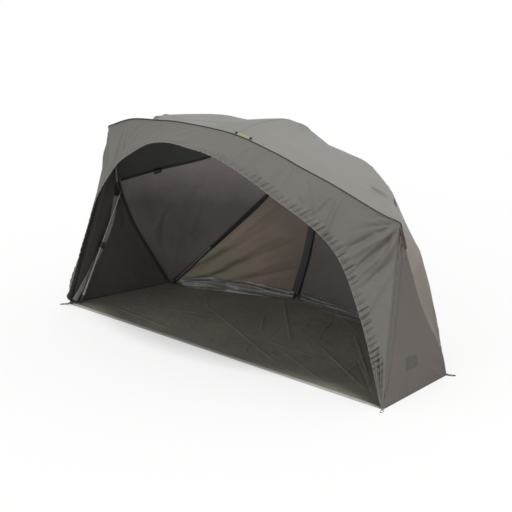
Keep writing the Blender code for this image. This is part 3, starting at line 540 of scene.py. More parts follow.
# The back seams share the back cloth's colour, painted light included.
BACK_SEAM = tape_look("back_seam", (0.195, 0.169, 0.146), 0.0016, (0.156, 0.143, 0.13), 0.003)
SIDE_SEAM_LOOK = tape_look("side_seam", (0.13, 0.117, 0.104), 0.0016, (0.117, 0.111, 0.098),
                           0.003)
INNER_TAPE = tape_look("inner_tape", (0.023, 0.023, 0.022), 0.0016, (0.046, 0.046, 0.043),
                       0.006)
SLEEVE_TAPE = tape_look("sleeve_tape", (0.072, 0.072, 0.075), 0.0018, (0.065, 0.065, 0.065), 0.018)
PIPING = tape_look("piping", (0.039, 0.039, 0.034), 0.002)
STITCH = tape_look("stitch", (0.13, 0.125, 0.114), 0.0035)
# The hem cord is a little lighter than the visor cloth: a painted highlight along the hem's rolled
# edge.
HEM_CORD = tape_look("hem_cord", (0.189, 0.178, 0.164), 0.003)
BLACK_WEBBING = tape_look("black_webbing", (0.029, 0.029, 0.026), 0.0018,
                          (0.065, 0.065, 0.058), 0.006)
OLIVE_WEBBING = tape_look("olive_webbing", (0.364, 0.384, 0.221), 0.0018, (0.117, 0.117, 0.078),
                          0.007)
BROWN_WEBBING = tape_look("brown_webbing", (0.091, 0.044, 0.036), 0.0018)
GREY_CORD = tape_look("grey_cord", (0.221, 0.221, 0.195), 0.003)
ROD_METAL = metal_look("rod_finish", (0.033, 0.033, 0.033), 0.42, 0.4)
TUBE_METAL = metal_look("tube_finish", (0.26, 0.26, 0.254), 0.38, 0.85)
BLACK_PLASTIC = plastic_look("plastic_finish", (0.026, 0.026, 0.027))
STEEL = metal_look("steel_finish", (0.325, 0.325, 0.325), 0.32, 1.0)


# Panels

def grid_normals(grid):
    """The unit direction square to a grid of places, out of the shelter."""
    normal = unit(np.cross(np.gradient(grid, axis=0), np.gradient(grid, axis=1)))
    facing = np.sum(normal * (grid - INSIDE), axis=-1)
    return normal if facing.sum() > 0 else -normal


def grid_uvs(grid):
    """Each grid point's place in metres along its rows and columns, close enough for a weave."""
    across = np.linalg.norm(np.diff(grid, axis=1), axis=-1)
    across = np.concatenate((np.zeros((grid.shape[0], 1)), np.cumsum(across, axis=1)), axis=1)
    across -= across.mean(axis=1, keepdims=True)
    along = np.linalg.norm(np.diff(grid, axis=0), axis=-1).mean(axis=1)
    along = np.concatenate(([0.0], np.cumsum(along)))
    return np.stack([across, np.broadcast_to(along[:, None], across.shape)], axis=-1)


class Panel:
    """A cloth panel: a grid of places, and the direction out of the shelter at each."""

    def __init__(self, grid, out=None):
        self.grid = grid
        self.out = grid_normals(grid) if out is None else out

    def lift(self, rise):
        """Move the cloth out of the shelter by a height at each grid point."""
        self.grid = self.grid + self.out * rise[..., None]
        return self

    def settle(self):
        """Work out the directions again after folds."""
        self.out = grid_normals(self.grid)
        return self

    def read(self, values, along, across):
        """Values of the grid at shares along and across it."""
        along, across = np.broadcast_arrays(np.asarray(along, float), np.asarray(across, float))
        rows, columns = values.shape[:2]
        i = np.clip(along, 0, 1) * (rows - 1)
        j = np.clip(across, 0, 1) * (columns - 1)
        i0 = np.minimum(i.astype(int), rows - 2)
        j0 = np.minimum(j.astype(int), columns - 2)
        di = (i - i0)[..., None]
        dj = (j - j0)[..., None]
        return ((values[i0, j0] * (1 - dj) + values[i0, j0 + 1] * dj) * (1 - di)
                + (values[i0 + 1, j0] * (1 - dj) + values[i0 + 1, j0 + 1] * dj) * di)

    def at(self, along, across, rise=0.0):
        """Places on the folded cloth, lifted off it."""
        return self.read(self.grid, along, across) + self.read(self.out, along, across) * rise

    def mirrored(self):
        """The same panel on the left half."""
        return Panel(self.grid * MIRROR, self.out * MIRROR)


def coons(seams, along, across):
    """Places on the surface between two long seams and the two ends that join them."""
    low, high, start, end = seams
    u, v = np.meshgrid(along, across, indexing="ij")
    lofted = low.at(u) * (1 - v[..., None]) + high.at(u) * v[..., None]
    ruled = start.at(v) * (1 - u[..., None]) + end.at(v) * u[..., None]
    first = low.at(0.0) * (1 - v[..., None]) + high.at(0.0) * v[..., None]
    last = low.at(1.0) * (1 - v[..., None]) + high.at(1.0) * v[..., None]
    return lofted + ruled - (first * (1 - u[..., None]) + last * u[..., None])


# Folds

def wander(x, seed, octaves=4):
    """A smooth line that wanders between about -1 and 1, the same each run."""
    total = np.zeros_like(x)
    for octave in range(octaves):
        rate = 2.0 ** octave
        phase = math.sin(seed * 12.9898 + octave * 78.233) * 43.7585
        total += np.sin(2 * math.pi * (rate * x * 1.37 + phase)) / rate
        total += np.sin(2 * math.pi * (rate * x * 0.61 - phase * 1.7)) / rate
    return total / 2.6


def fade(distance, start, end):
    """1 up to a start distance, falling smoothly to 0 at an end distance."""
    t = np.clip((distance - start) / (end - start), 0.0, 1.0)
    return 1 - t * t * (3 - 2 * t)


def fold(panel, start, end, width, height):
    """A ridge, or with a height below zero a furrow, between two places of a panel."""
    first = panel.at(*start)
    last = panel.at(*end)
    span = last - first
    away = panel.grid - first
    t = np.clip(away @ span / (span @ span), 0.0, 1.0)
    distance = np.linalg.norm(away - t[..., None] * span, axis=-1)
    return height * np.exp(-(distance / width) ** 2) * np.sin(math.pi * t) ** 0.6


def folds(panel, rows, width, height):
    """All the folds of a table: two places, and factors of the width and height."""
    return sum(fold(panel, row[:2], row[2:4], row[4] * width, row[5] * height) for row in rows)


def fan(panel, centre, toward, count, reach, height, seed, near=0.03, sharp=1.6):
    """Wrinkles that fan out from a corner, deepest a little way from it."""
    away = panel.grid - centre
    distance = np.linalg.norm(away, axis=-1)
    forward = unit(toward - centre)
    normal = panel.read(panel.out, 0.5, 0.5)
    sideways = unit(np.cross(normal, forward))
    angle = np.arctan2(away @ sideways, away @ forward)
    bend = 0.12 * wander(distance / reach, seed)
    wave = np.cos(count * (angle + bend) + seed) + 0.45 * np.cos(count * 1.73 * (angle - bend))
    ridge = np.sign(wave) * np.abs(wave / 1.45) ** sharp
    length = reach * (0.8 + 0.35 * wander(angle * 0.8 + seed, seed + 3))
    rise = (1 - fade(distance, near * 0.2, near * 2.5)) * fade(distance, near * 2.5, length)
    return height * ridge * rise


def from_edges(panel, edges=(1, 1, 1, 1), reach=0.05):
    """0 on the chosen edges (low, high, start, end), rising to 1 a reach away from them."""
    uv = grid_uvs(panel.grid)
    distances = (uv[..., 0] - uv[:, :1, 0], uv[:, -1:, 0] - uv[..., 0],
                 uv[..., 1], uv[-1:, :, 1] - uv[..., 1])
    share = np.ones(panel.grid.shape[:2])
    for used, distance in zip(edges, distances):
        if used:
            share *= 1 - fade(distance, 0.0, reach)
    return share


def unevenness(panel, height, scale, seed):
    """Faint broad unevenness over a panel."""
    x, y, z = (panel.grid[..., axis] * scale for axis in range(3))
    return height * (np.sin(x * 1.3 + 2.1 * np.sin(y * 0.9 + seed)) * np.cos(z * 1.1 + seed)
                     + 0.5 * np.sin(y * 2.3 + z * 1.7 + seed * 2) * np.cos(x * 2.1 - seed)) / 1.5


# Meshes

CLOTH_PIECES = []
SHEETS = {}


def placed(name, data):
    """A new object in the scene."""
    made = bpy.data.objects.new(name, data)
    bpy.context.scene.collection.objects.link(made)
    return made


def mesh_object(name, verts, faces, looks, uvs):
    """A smooth mesh piece with one UV pair for each vertex."""
    mesh = bpy.data.meshes.new(name)
    mesh.from_pydata([tuple(v) for v in verts], [], [tuple(f) for f in faces])
    layer = mesh.uv_layers.new(name="UVMap")
    corners = np.empty(len(mesh.loops), np.int32)
    mesh.loops.foreach_get("vertex_index", corners)
    layer.data.foreach_set("uv", np.asarray(uvs, np.float32)[corners].ravel())
    for look in looks:
        mesh.materials.append(look)
    mesh.shade_smooth()
    return placed(name, mesh)


def grid_faces(rows, columns, closed=False):
    """The quads of a grid of points, rows by columns."""
    i, j = np.meshgrid(np.arange(rows - 1), np.arange(columns if closed else columns - 1),
                       indexing="ij")
    a = i * columns + j
    b = i * columns + (j + 1) % columns
    return np.stack([a, b, b + columns, a + columns], axis=-1).reshape(-1, 4)


def sheet_piece(name, panel, outer, inner, rests_on, node=None, held="stretched",
                folding=True, thickness=CLOTH):
    """A panel as cloth with a little thickness, its outer and inner faces each finished."""
    rows, columns = panel.grid.shape[:2]
    verts = panel.grid.reshape(-1, 3)
    quads = grid_faces(rows, columns)
    middle = quads[(rows // 2) * (columns - 1) + columns // 2]
    a, b, c = (verts[k] for k in middle[:3])
    if np.cross(b - a, c - b) @ panel.out.reshape(-1, 3)[middle[0]] < 0:
        quads = quads[:, ::-1]
    made = mesh_object(name, verts, quads, [outer, inner], grid_uvs(panel.grid).reshape(-1, 2))
    thick = made.modifiers.new("cloth", "SOLIDIFY")
    thick.thickness = thickness
    thick.offset = 0.0
    thick.material_offset = 1
    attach(made, "root")
    if node:
        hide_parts(node)
    one = panel.grid[1:, 1:] - panel.grid[:-1, :-1]
    two = panel.grid[1:, :-1] - panel.grid[:-1, 1:]
    area = float(np.linalg.norm(np.cross(one, two), axis=-1).sum() / 2)
    width = float(np.linalg.norm(np.diff(panel.grid, axis=1), axis=-1).sum(axis=1).max())
    length = float(np.linalg.norm(np.diff(panel.grid, axis=0), axis=-1).sum(axis=0).max())
    SHEETS[name] = {"piece": made, "flat": (width, length), "area": area, "held": held,
                    "rests_on": rests_on, "trims": []}
    if folding:
        CLOTH_PIECES.append(made)
    return made


# Outlines across a strip, in shares of half its width and of its rise
ROUND = [(math.cos(2 * math.pi * k / 12), math.sin(2 * math.pi * k / 12)) for k in range(12)]
FLAT = [(-1.0, 0.0), (-0.97, 0.8), (-0.9, 1.0), (-0.45, 1.0), (0.0, 1.0), (0.45, 1.0),
        (0.9, 1.0), (0.97, 0.8), (1.0, 0.0), (0.0, -0.1)]


def strip(name, centre, out, size, look, on=None, body="root", profile=FLAT,
          closed=False):
    """A tape of a width and thickness along a line of places, its UV in metres.

    on is the sheet that it is sewn to.
    """
    width, rise = size
    centre = np.asarray(centre, float)
    if closed:
        along = unit(np.roll(centre, -1, axis=0) - np.roll(centre, 1, axis=0))
    else:
        along = unit(np.gradient(centre, axis=0))
    out = np.broadcast_to(out, centre.shape)
    out = square_to(out, along)
    side = np.cross(out, along)
    shape = np.array(profile)
    count = len(shape)
    ring = (centre[:, None, :] + side[:, None, :] * (shape[:, 0] * width / 2)[None, :, None]
            + out[:, None, :] * (shape[:, 1] * rise)[None, :, None])
    spans = np.concatenate(([0.0], np.cumsum(np.linalg.norm(np.diff(centre, axis=0), axis=1))))
    uvs = np.stack([np.broadcast_to(spans[:, None], (len(centre), count)),
                    np.broadcast_to(shape[:, 0] * width / 2, (len(centre), count))], axis=-1)
    quads = [tuple(int(k) for k in face[::-1]) for face in grid_faces(len(centre), count, True)]
    last = (len(centre) - 1) * count
    if closed:
        quads += [(k, (k + 1) % count, last + (k + 1) % count, last + k) for k in range(count)]
    else:
        quads.append(tuple(range(count)))
        quads.append(tuple(range(last + count - 1, last - 1, -1)))
    made = mesh_object(name, ring.reshape(-1, 3), quads, [look], uvs.reshape(-1, 2))
    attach(made, body)
    if on:
        SHEETS[on]["trims"].append(made)
    if body == "root" and (on is None or SHEETS[on]["piece"] in CLOTH_PIECES):
        CLOTH_PIECES.append(made)
    return made


def cord(name, centre, out, radius, look, on, closed=False):
    """A round cord along a line of places."""
    return strip(name, centre, out, (radius * 2, radius), look, on, profile=ROUND,
                 closed=closed)


# Roof and walls

ROOF_ROWS = 201
ROOF_COLUMNS = (121, 51)
WALL_GRID = (121, 81)
FOLD_WIDTH = 0.016
FOLD_HEIGHT = 0.009

# Tables of folds: where each starts and ends, then factors of the width and the height
ROOF_FOLDS = ((0.72, 0.6, 0.735, 0.69, 1.0, 0.8), (0.772, 0.594, 0.785, 0.695, 1.0, 1.0),
              (0.78, 0.592, 0.825, 0.695, 1.0, -0.9), (0.788, 0.59, 0.86, 0.69, 1.0, 1.0),
              (0.8, 0.6, 0.9, 0.685, 1.0, -0.9), (0.82, 0.62, 0.93, 0.68, 1.0, 0.9))
ROOF_FOLD_WIDTH = 0.0085
ROOF_FOLD_HEIGHT = 0.011


def make_roof():
    """The right half of the roof, with its pull wrinkles at the shoulder and the front."""
    along = np.linspace(0, 1, ROOF_ROWS)
    across = np.linspace(0, 1, ROOF_COLUMNS[0])
    u, v = np.meshgrid(along, across, indexing="ij")
    front = Panel(coons(ROOF_FRONT, along, across))
    front.lift(-ROOF_SAG * np.sin(math.pi * u) * np.sin(math.pi * v) ** ROOF_SAG_CURVE)
    side = coons(ROOF_SIDE, along, np.linspace(0, 1, ROOF_COLUMNS[1]))
    whole = Panel(np.concatenate((front.grid, side[:, 1:]), axis=1))
    shoulder = fan(whole, SHOULDER_CORNER, RIDGE.at(0.45), count=34.0, reach=0.45,
                   height=0.003, seed=1.0, near=0.035)
    brow = fan(whole, FRONT_SEAM.at(0.06), SHOULDER.at(0.6), count=28.0, reach=0.32,
               height=0.002, seed=2.0, near=0.035)
    uneven = unevenness(whole, 0.0014, 7.0, 0.4)
    rows = folds(whole, ROOF_FOLDS, ROOF_FOLD_WIDTH, ROOF_FOLD_HEIGHT)
    whole.lift(from_edges(whole, reach=0.03) * (shoulder + brow + uneven + rows))
    return whole.settle()


def stood(panel):
    """A wall panel with its foot let down to the ground, past the groundsheet's edge."""
    panel.settle()
    panel.grid[-1, :, 2] = CLOTH
    return panel


def make_wall(seams, bulge, fans, rows, seed):
    """A wall between its seams, fullest a little below the middle, and its folds.

    fans are the wrinkles that stand up from its pegs, and rows a table of single folds.
    """
    along, across = (np.linspace(0, 1, count) for count in WALL_GRID)
    u, v = np.meshgrid(along, across, indexing="ij")
    panel = Panel(coons(seams, along, across))
    panel.lift(bulge * np.sin(math.pi * u ** WALL_BULGE_LEAN) * np.sin(math.pi * v))
    rise = sum(fan(panel, *row, near=0.06, sharp=1.2) for row in fans)
    rise = rise + folds(panel, rows, FOLD_WIDTH, FOLD_HEIGHT)
    return panel.lift(from_edges(panel) * (rise + unevenness(panel, 0.003, 5.0, seed)))


BACK_WALL_FOLDS = ((0.74, 0.66, 0.86, 0.9, 0.7, 1.1), (0.72, 0.56, 0.86, 0.8, 0.9, -0.9),
                   (0.85, 0.62, 0.975, 0.92, 0.8, 1.0), (0.86, 0.42, 0.97, 0.75, 0.9, 0.9),
                   (0.8, 0.3, 0.97, 0.6, 1.0, -0.8), (0.62, 0.3, 0.8, 0.55, 1.6, 0.8))


def make_back_wall():
    """The wall behind the side seam, with folds that stand up from its peg."""
    fans = ((BACK_PEG, EAVES.at(0.75), 17.0, 0.75, 0.008, 4.0),)
    return make_wall(BACK_WALL, WALL_BULGE, fans, BACK_WALL_FOLDS, 1.9).settle()


REAR_WALL_FOLDS = ((0.97, 0.1, 0.62, 0.5, 1.1, 0.9), (0.98, 0.16, 0.7, 0.62, 1.2, -1.0),
                   (0.975, 0.22, 0.72, 0.82, 1.0, 1.1), (0.98, 0.3, 0.8, 0.9, 1.2, -0.9),
                   (0.985, 0.4, 0.86, 0.95, 1.0, 0.9), (0.94, 0.07, 0.5, 0.4, 1.3, -0.8))


def make_rear_wall():
    """The wall between the back and rear ribs, with folds that fan from the back peg."""
    fans = ((BACK_PEG, REAR_RIB.at(0.7), 19.0, 1.0, 0.009, 2.6),)
    return stood(make_wall(REAR_WALL, REAR_BULGE, fans, REAR_WALL_FOLDS, 0.7))


def make_rear_centre():
    """The middle of the rear wall."""
    fans = ((REAR_PEG * MIRROR, REAR_RIB.at(0.4), 15.0, 0.7, 0.005, 3.3),
            (REAR_PEG, REAR_RIB.at(0.4) * MIRROR, 15.0, 0.7, 0.005, 1.2))
    return stood(make_wall(REAR_CENTRE, REAR_BULGE, fans, (), 2.7))


CREASE_OFFSET = 0.046
CREASE_WIDTH = 0.006
CREASE_DEPTH = 0.006
PLEAT_RISE = 0.004
SIDE_ROWS = 131
SIDE_COLUMNS = 91
SIDE_CROWDING = 1.4


def make_side_wall():
    """The triangular side panel, pulled tight between the shoulder and the two pegs."""
    top = SIDE_WALL_TOP / min(FRONT_EDGE.length, WALL_EDGE.length)
    along = np.linspace(top, 1, SIDE_ROWS)
    across = np.linspace(0, 1, SIDE_COLUMNS) ** SIDE_CROWDING
    panel = Panel(coons(SIDE_WALL, along, across))
    u = np.broadcast_to(along[:, None], panel.grid.shape[:2])
    uv = grid_uvs(panel.grid)
    from_front = uv[..., 0] - uv[:, :1, 0]
    offset = CREASE_OFFSET * np.maximum(np.sin(math.pi * np.clip(u * 1.02, 0, 1)), 0) ** 0.45
    offset = np.maximum(offset, CREASE_WIDTH)
    ends = fade(u, 0.8, 1.0) * (1 - fade(u, 0.0, 0.12))
    crease = -CREASE_DEPTH * np.exp(-((from_front - offset) / CREASE_WIDTH) ** 2)
    pleat = PLEAT_RISE * np.exp(-((from_front - offset / 2) / (offset * 0.4)) ** 2)
    shoulder = fan(panel, SHOULDER_CORNER, SIDE_GROUND.at(0.5), count=42.0, reach=0.6,
                   height=0.003, seed=0.9, near=0.05)
    low = fan(panel, BACK_PEG, FRONT_EDGE.at(0.5), count=13.0, reach=0.5, height=0.004,
              seed=2.2, near=0.05)
    held = (1, 1, 0, 1)
    rise = from_edges(panel, held, 0.04) * (shoulder + low)
    rise += from_edges(panel, held, 0.008) * ends * (crease + pleat)
    rise += from_edges(panel, held, 0.05) * unevenness(panel, 0.003, 5.0, 3.1)
    return stood(panel.lift(rise))


# Visor

VISOR_ROWS_A_HALF = 430
VISOR_COLUMNS = 71
CASING_WIDTH = 0.02
GATHER_PITCH = 0.037
GATHER_REACH = 0.078
GATHER_HEIGHT = 0.0135
STITCH_SINK = 0.0014
STITCH_SPREAD = 0.0025
DRAPE_WIDTH = 0.015
DRAPE_HEIGHT = 0.016
DRAPES = ((0.235, 0.1, 0.36, 0.62, 0.9, 1.0), (0.3, 0.3, 0.425, 0.8, 1.0, -1.1),
          (0.395, 0.25, 0.475, 0.86, 0.9, 1.1), (0.22, 0.2, 0.25, 0.62, 0.8, 0.7),
          (0.25, 0.15, 0.3, 0.72, 0.9, 0.8), (0.18, 0.6, 0.23, 0.82, 0.8, -0.6),
          (0.41, 0.82, 0.375, 0.3, 0.8, 0.8), (0.545, 0.1, 0.57, 0.88, 1.4, 1.2),
          (0.54, 0.12, 0.545, 0.92, 1.3, -1.1), (0.57, 0.05, 0.635, 0.45, 0.9, 1.0),
          (0.56, 0.06, 0.61, 0.75, 1.0, -1.2), (0.59, 0.03, 0.63, 0.88, 1.2, 1.0),
          (0.62, 0.1, 0.67, 0.82, 1.0, -0.9), (0.645, 0.08, 0.73, 0.7, 1.2, 0.8),
          (0.09, 0.15, 0.13, 0.75, 1.2, 0.7), (0.14, 0.2, 0.19, 0.8, 1.0, -0.6))
PLEATS = ((0.83, 0.55, 0.985, 0.9, 1.0, -1.0), (0.85, 0.7, 0.985, 0.96, 0.9, 1.0),
          (0.86, 0.4, 0.98, 0.62, 0.9, -0.8))
PLEAT_WIDTH = 0.0055
PLEAT_HEIGHT = 0.014
LEFT_DRAPE_SHARE = 0.45
LEFT_PULL = 0.036
LEFT_PULL_SHARES = (0.5, 0.64)
FLARE = 0.022
FLARE_SHARE = 0.975
FLARE_SPREAD = 0.018


def gathers(place, from_hem, seed):
    """The puckers beside the hem's elastic casing."""
    phase = 1.6 * wander(place * 1.7, seed, 3) + from_hem * 9
    first = 2 * np.abs(np.sin(math.pi * (place / GATHER_PITCH) + phase)) ** 1.15 - 1
    second = np.cos(2 * math.pi * place / (GATHER_PITCH * 0.47) - phase * 1.6 + from_hem * 30)
    swell = 0.6 + 0.4 * wander(place * 2.9, seed + 5, 3)
    reach = GATHER_REACH * (0.75 + 0.5 * np.abs(wander(place * 4.1, seed + 2, 2)))
    close = fade(from_hem, reach * 0.62, reach)
    calm = 1 - 0.3 * fade(from_hem, 0.0, CASING_WIDTH * 1.2)
    return GATHER_HEIGHT * (0.75 * first + 0.35 * second + 0.25) * swell * close * calm


def visor_rise(panel, rows, seed, strength):
    """The folds of the visor's right half, or with less strength those of its left half."""
    u = np.broadcast_to(rows[:, None], panel.grid.shape[:2])
    uv = grid_uvs(panel.grid)
    from_edge = uv[..., 0] - uv[:, :1, 0]
    from_hem = uv[:, -1:, 0] - uv[..., 0]
    shoulder = fan(panel, SHOULDER_CORNER, HEM.at(0.55), count=15.0, reach=0.42, height=0.006,
                   seed=1.7, near=0.05, sharp=1.1)
    rise = strength * (folds(panel, DRAPES, DRAPE_WIDTH, DRAPE_HEIGHT) + shoulder)
    rise *= (1 - fade(from_hem, 0.0, 0.05)) * (1 - fade(from_edge, 0.0, 0.03))
    pleats = folds(panel, PLEATS, PLEAT_WIDTH, PLEAT_HEIGHT)
    rise += pleats * (1 - fade(from_hem, 0.0, 0.01)) * (1 - fade(from_edge, 0.0, 0.01))
    close = gathers(HEM.length * u, from_hem, seed) * fade(u, 0.9, 1.0)
    rise += close * (0.1 + 0.9 * strength ** 2)
    stitched = np.exp(-((from_hem - CASING_WIDTH) / STITCH_SPREAD) ** 2)
    rise -= STITCH_SINK * stitched * fade(u, 0.93, 1.0)
    down = (1 - fade(u, VISOR_JOINT, VISOR_JOINT + 0.04)) * fade(u, 0.86, 0.99)
    crease = np.exp(-((from_edge - CREASE_WIDTH) / CREASE_WIDTH) ** 2)
    rise -= CREASE_DEPTH * 0.8 * crease * down
    return rise + unevenness(panel, 0.0025, 8.0, seed + 1.3) * (1 - fade(from_edge, 0.0, 0.05))


def make_visor():
    """The whole visor, from the left front peg over the top to the right one."""
    rows = np.linspace(0, 1, VISOR_ROWS_A_HALF)
    t = np.linspace(0, 1, VISOR_COLUMNS)
    across = t - 0.6 * np.sin(2 * math.pi * t) / (2 * math.pi)
    top = (FRONT_SEAM.at(0.0), HEM.at(0.0))
    start = Seam([top[0], (top[0] + top[1]) / 2, top[1]])
    end = Seam([FRONT_PEG, (FRONT_PEG + HEM_END) / 2, HEM_END])
    grid = coons((VISOR_EDGE, HEM, start, end), rows, across)
    right, left = Panel(grid), Panel(grid)
    rises = [visor_rise(right, rows, 0.0, 1.0), visor_rise(left, rows, 4.0, LEFT_DRAPE_SHARE)]
    shared = (rises[0][:1] + rises[1][:1]) / 2
    centre = fade(rows, 0.0, 0.05)[:, None]
    for half, rise in zip((right, left), rises):
        half.lift(rise * (1 - centre) + shared * centre)
    pull = LEFT_PULL * (1 - fade(rows, *LEFT_PULL_SHARES)) * fade(rows, 0.94, 1.0)
    left.grid -= (pull[:, None] * across)[..., None] * BACKWARD
    flare = FLARE * np.exp(-((rows - FLARE_SHARE) / FLARE_SPREAD) ** 2) * fade(rows, 0.98, 1.0)
    left.grid += (flare[:, None] * across ** 2)[..., None] * (ACROSS - BACKWARD * 0.4)
    return Panel(np.concatenate((left.grid[:0:-1] * MIRROR, right.grid)))


PANELS = {"roof": make_roof(), "back_wall": make_back_wall(), "rear_wall": make_rear_wall(),
          "side_wall": make_side_wall()}
VISOR = make_visor()
REAR_MIDDLE = make_rear_centre()


def half_panels(sign):
    """The panels of the right half (1) or of the left (-1)."""
    return {key: panel if sign > 0 else panel.mirrored() for key, panel in PANELS.items()}


def add_panels():
    """Every panel of the roof, the walls and the visor."""
    rows = {"roof": (ROOF_CLOTH, ROOF_LINING, "canopy_cloth", ("_shoulder_rod",)),
            "back_wall": (BACK_CLOTH, BACK_LINING, "wall_cloth", ("_back_rod",)),
            "rear_wall": (BACK_CLOTH, REAR_LINING, "wall_cloth", ("_back_rod", "_rear_rod")),
            "side_wall": (SIDE_CLOTH, SIDE_LINING, "wall_cloth", ("_pole_upper_tube",))}
    for side, sign in SIDES.items():
        for key, panel in half_panels(sign).items():
            outer, inner, slot, rods = rows[key]
            name = side + "_" + key
            sheet_piece(name + "_cloth", panel, outer, inner, [side + r for r in rods],
                        name)
    sheet_piece("visor_cloth_panel", VISOR, VISOR_CLOTH, VISOR_LINING,
                ["front_rib_rod"], "front_visor")
    sheet_piece("rear_centre_cloth", REAR_MIDDLE, BACK_CLOTH, CENTRE_LINING,
                ["left_rear_rod", "right_rear_rod"], "rear_centre_wall")


add_panels()


# Groundsheet

GROUND_CREASES = ((0.62, 0.75, 0.86, 0.35, 0.5, 1.0), (0.6, 0.5, 0.88, 0.22, 0.6, 0.9),
                  (0.3, 0.9, 0.55, 0.4, 0.5, 0.8), (0.42, 0.75, 0.5, 0.3, 0.6, -0.7),
                  (0.2, 0.6, 0.62, 0.12, 0.5, 0.7), (0.5, 0.85, 0.56, 0.6, 0.5, 1.0),
                  (0.36, 0.62, 0.44, 0.42, 0.5, 0.9), (0.12, 0.35, 0.4, 0.55, 0.5, 0.6),
                  (0.7, 0.9, 0.95, 0.6, 0.5, 0.8), (0.74, 0.5, 0.94, 0.12, 0.6, -0.8),
                  (0.05, 0.2, 0.3, 0.1, 0.5, 0.6), (0.55, 0.3, 0.8, 0.08, 0.5, 0.7),
                  (0.28, 0.3, 0.34, 0.8, 0.5, 0.6), (0.8, 0.2, 0.72, 0.7, 0.5, 0.6),
                  (0.46, 0.95, 0.62, 0.78, 0.4, 0.8), (0.14, 0.8, 0.24, 0.5, 0.5, 0.7),
                  (0.25, 0.03, 0.25, 0.97, 0.45, 0.45), (0.5, 0.03, 0.5, 0.97, 0.45, 0.5),
                  (0.75, 0.03, 0.75, 0.97, 0.45, 0.45), (0.03, 0.5, 0.97, 0.5, 0.45, 0.5))
GROUND_CREASE_WIDTH = 0.013
GROUND_CREASE_HEIGHT = 0.0052
GROUND_GRID = (421, 171)
GROUND_LIFT = 0.0012


def make_groundsheet():
    """The groundsheet with its creases, raised nowhere that a foot stands."""
    u, v = np.meshgrid(*(np.linspace(0, 1, count) for count in GROUND_GRID), indexing="ij")
    x = u * 2 - 1
    level = np.full_like(x, SHEET / 2)
    front = np.stack([x * FRONT_PEG[0], np.full_like(x, FRONT_LINE), level], axis=-1)
    far_x = x * BACK_PEG[0]
    far_y = np.interp(np.abs(far_x), [REAR_PEG[0], BACK_PEG[0]], [REAR_PEG[1], BACK_PEG[1]])
    far = np.stack([far_x, far_y, level], axis=-1)
    grid = front * (1 - v[..., None]) + far * v[..., None]
    panel = Panel(grid, np.broadcast_to(UP, grid.shape).copy())
    rise = folds(panel, GROUND_CREASES, GROUND_CREASE_WIDTH, GROUND_CREASE_HEIGHT)
    rise = rise + GROUND_LIFT + unevenness(panel, GROUND_LIFT, 9.0, 0.2)
    across = np.minimum(np.minimum(u, 1 - u) * 12, 1)
    deep = np.minimum(np.minimum(v * 20, (1 - v) * 10), 1)
    panel.lift(np.maximum(rise, -0.0002) * across * deep)
    return panel


GROUND = make_groundsheet()
sheet_piece("groundsheet_cloth", GROUND, GROUND_CLOTH, GROUND_CLOTH, [],
            "groundsheet", held="laid", folding=False)


HEM_TAPE_SIZE = (0.024, 0.0012)
HEM_TAPE_INSET = 0.0125
HEM_TAPE_END = 0.012
HEM_TAPE_WAVE = 0.0006


def add_hem_strip():
    """The pale bound edge along the groundsheet's front."""
    x = np.linspace(-1, 1, 260) * (FRONT_PEG[0] - HEM_TAPE_END)
    lift = GROUND_LIFT + HEM_TAPE_WAVE * np.sin(x * 9 + 1.2 * np.sin(x * 3.7))
    centre = np.stack([x, np.full_like(x, FRONT_LINE + HEM_TAPE_INSET), SHEET / 2 + lift],
                      axis=-1)
    strip("groundsheet_front_tape", centre, UP, HEM_TAPE_SIZE, HEM_TAPE,
          "groundsheet_cloth")


add_hem_strip()


# Seams outside, tapes and sleeves inside

SEAM_WIDTH = 0.009
SEAM_RISE = 0.0009
TAPE_RISE = 0.0012
TAPE_WIDTH = 0.018
SLEEVE_WIDTH = 0.045
SEAM_POINTS = 120


def between(first, last, count=SEAM_POINTS):
    """Even shares between two."""
    return np.linspace(first, last, count)


def beside(panel, share, edge, distance):
    """The shares across a panel at a distance from its low (0) or high (1) edge."""
    rows, columns = panel.grid.shape[:2]
    reach = grid_uvs(panel.grid)[..., 0]
    reach = reach[:, -1:] - reach if edge else reach - reach[:, :1]
    marks = np.linspace(0, 1, columns)
    found = []
    for row in share * (rows - 1):
        low = min(int(row), rows - 2)
        line = reach[low] * (low + 1 - row) + reach[low + 1] * (row - low)
        target = min(distance, line.max() / 2)
        order = slice(None, None, -1) if edge else slice(None)
        found.append(np.interp(target, line[order], marks[order]))
    return np.array(found)


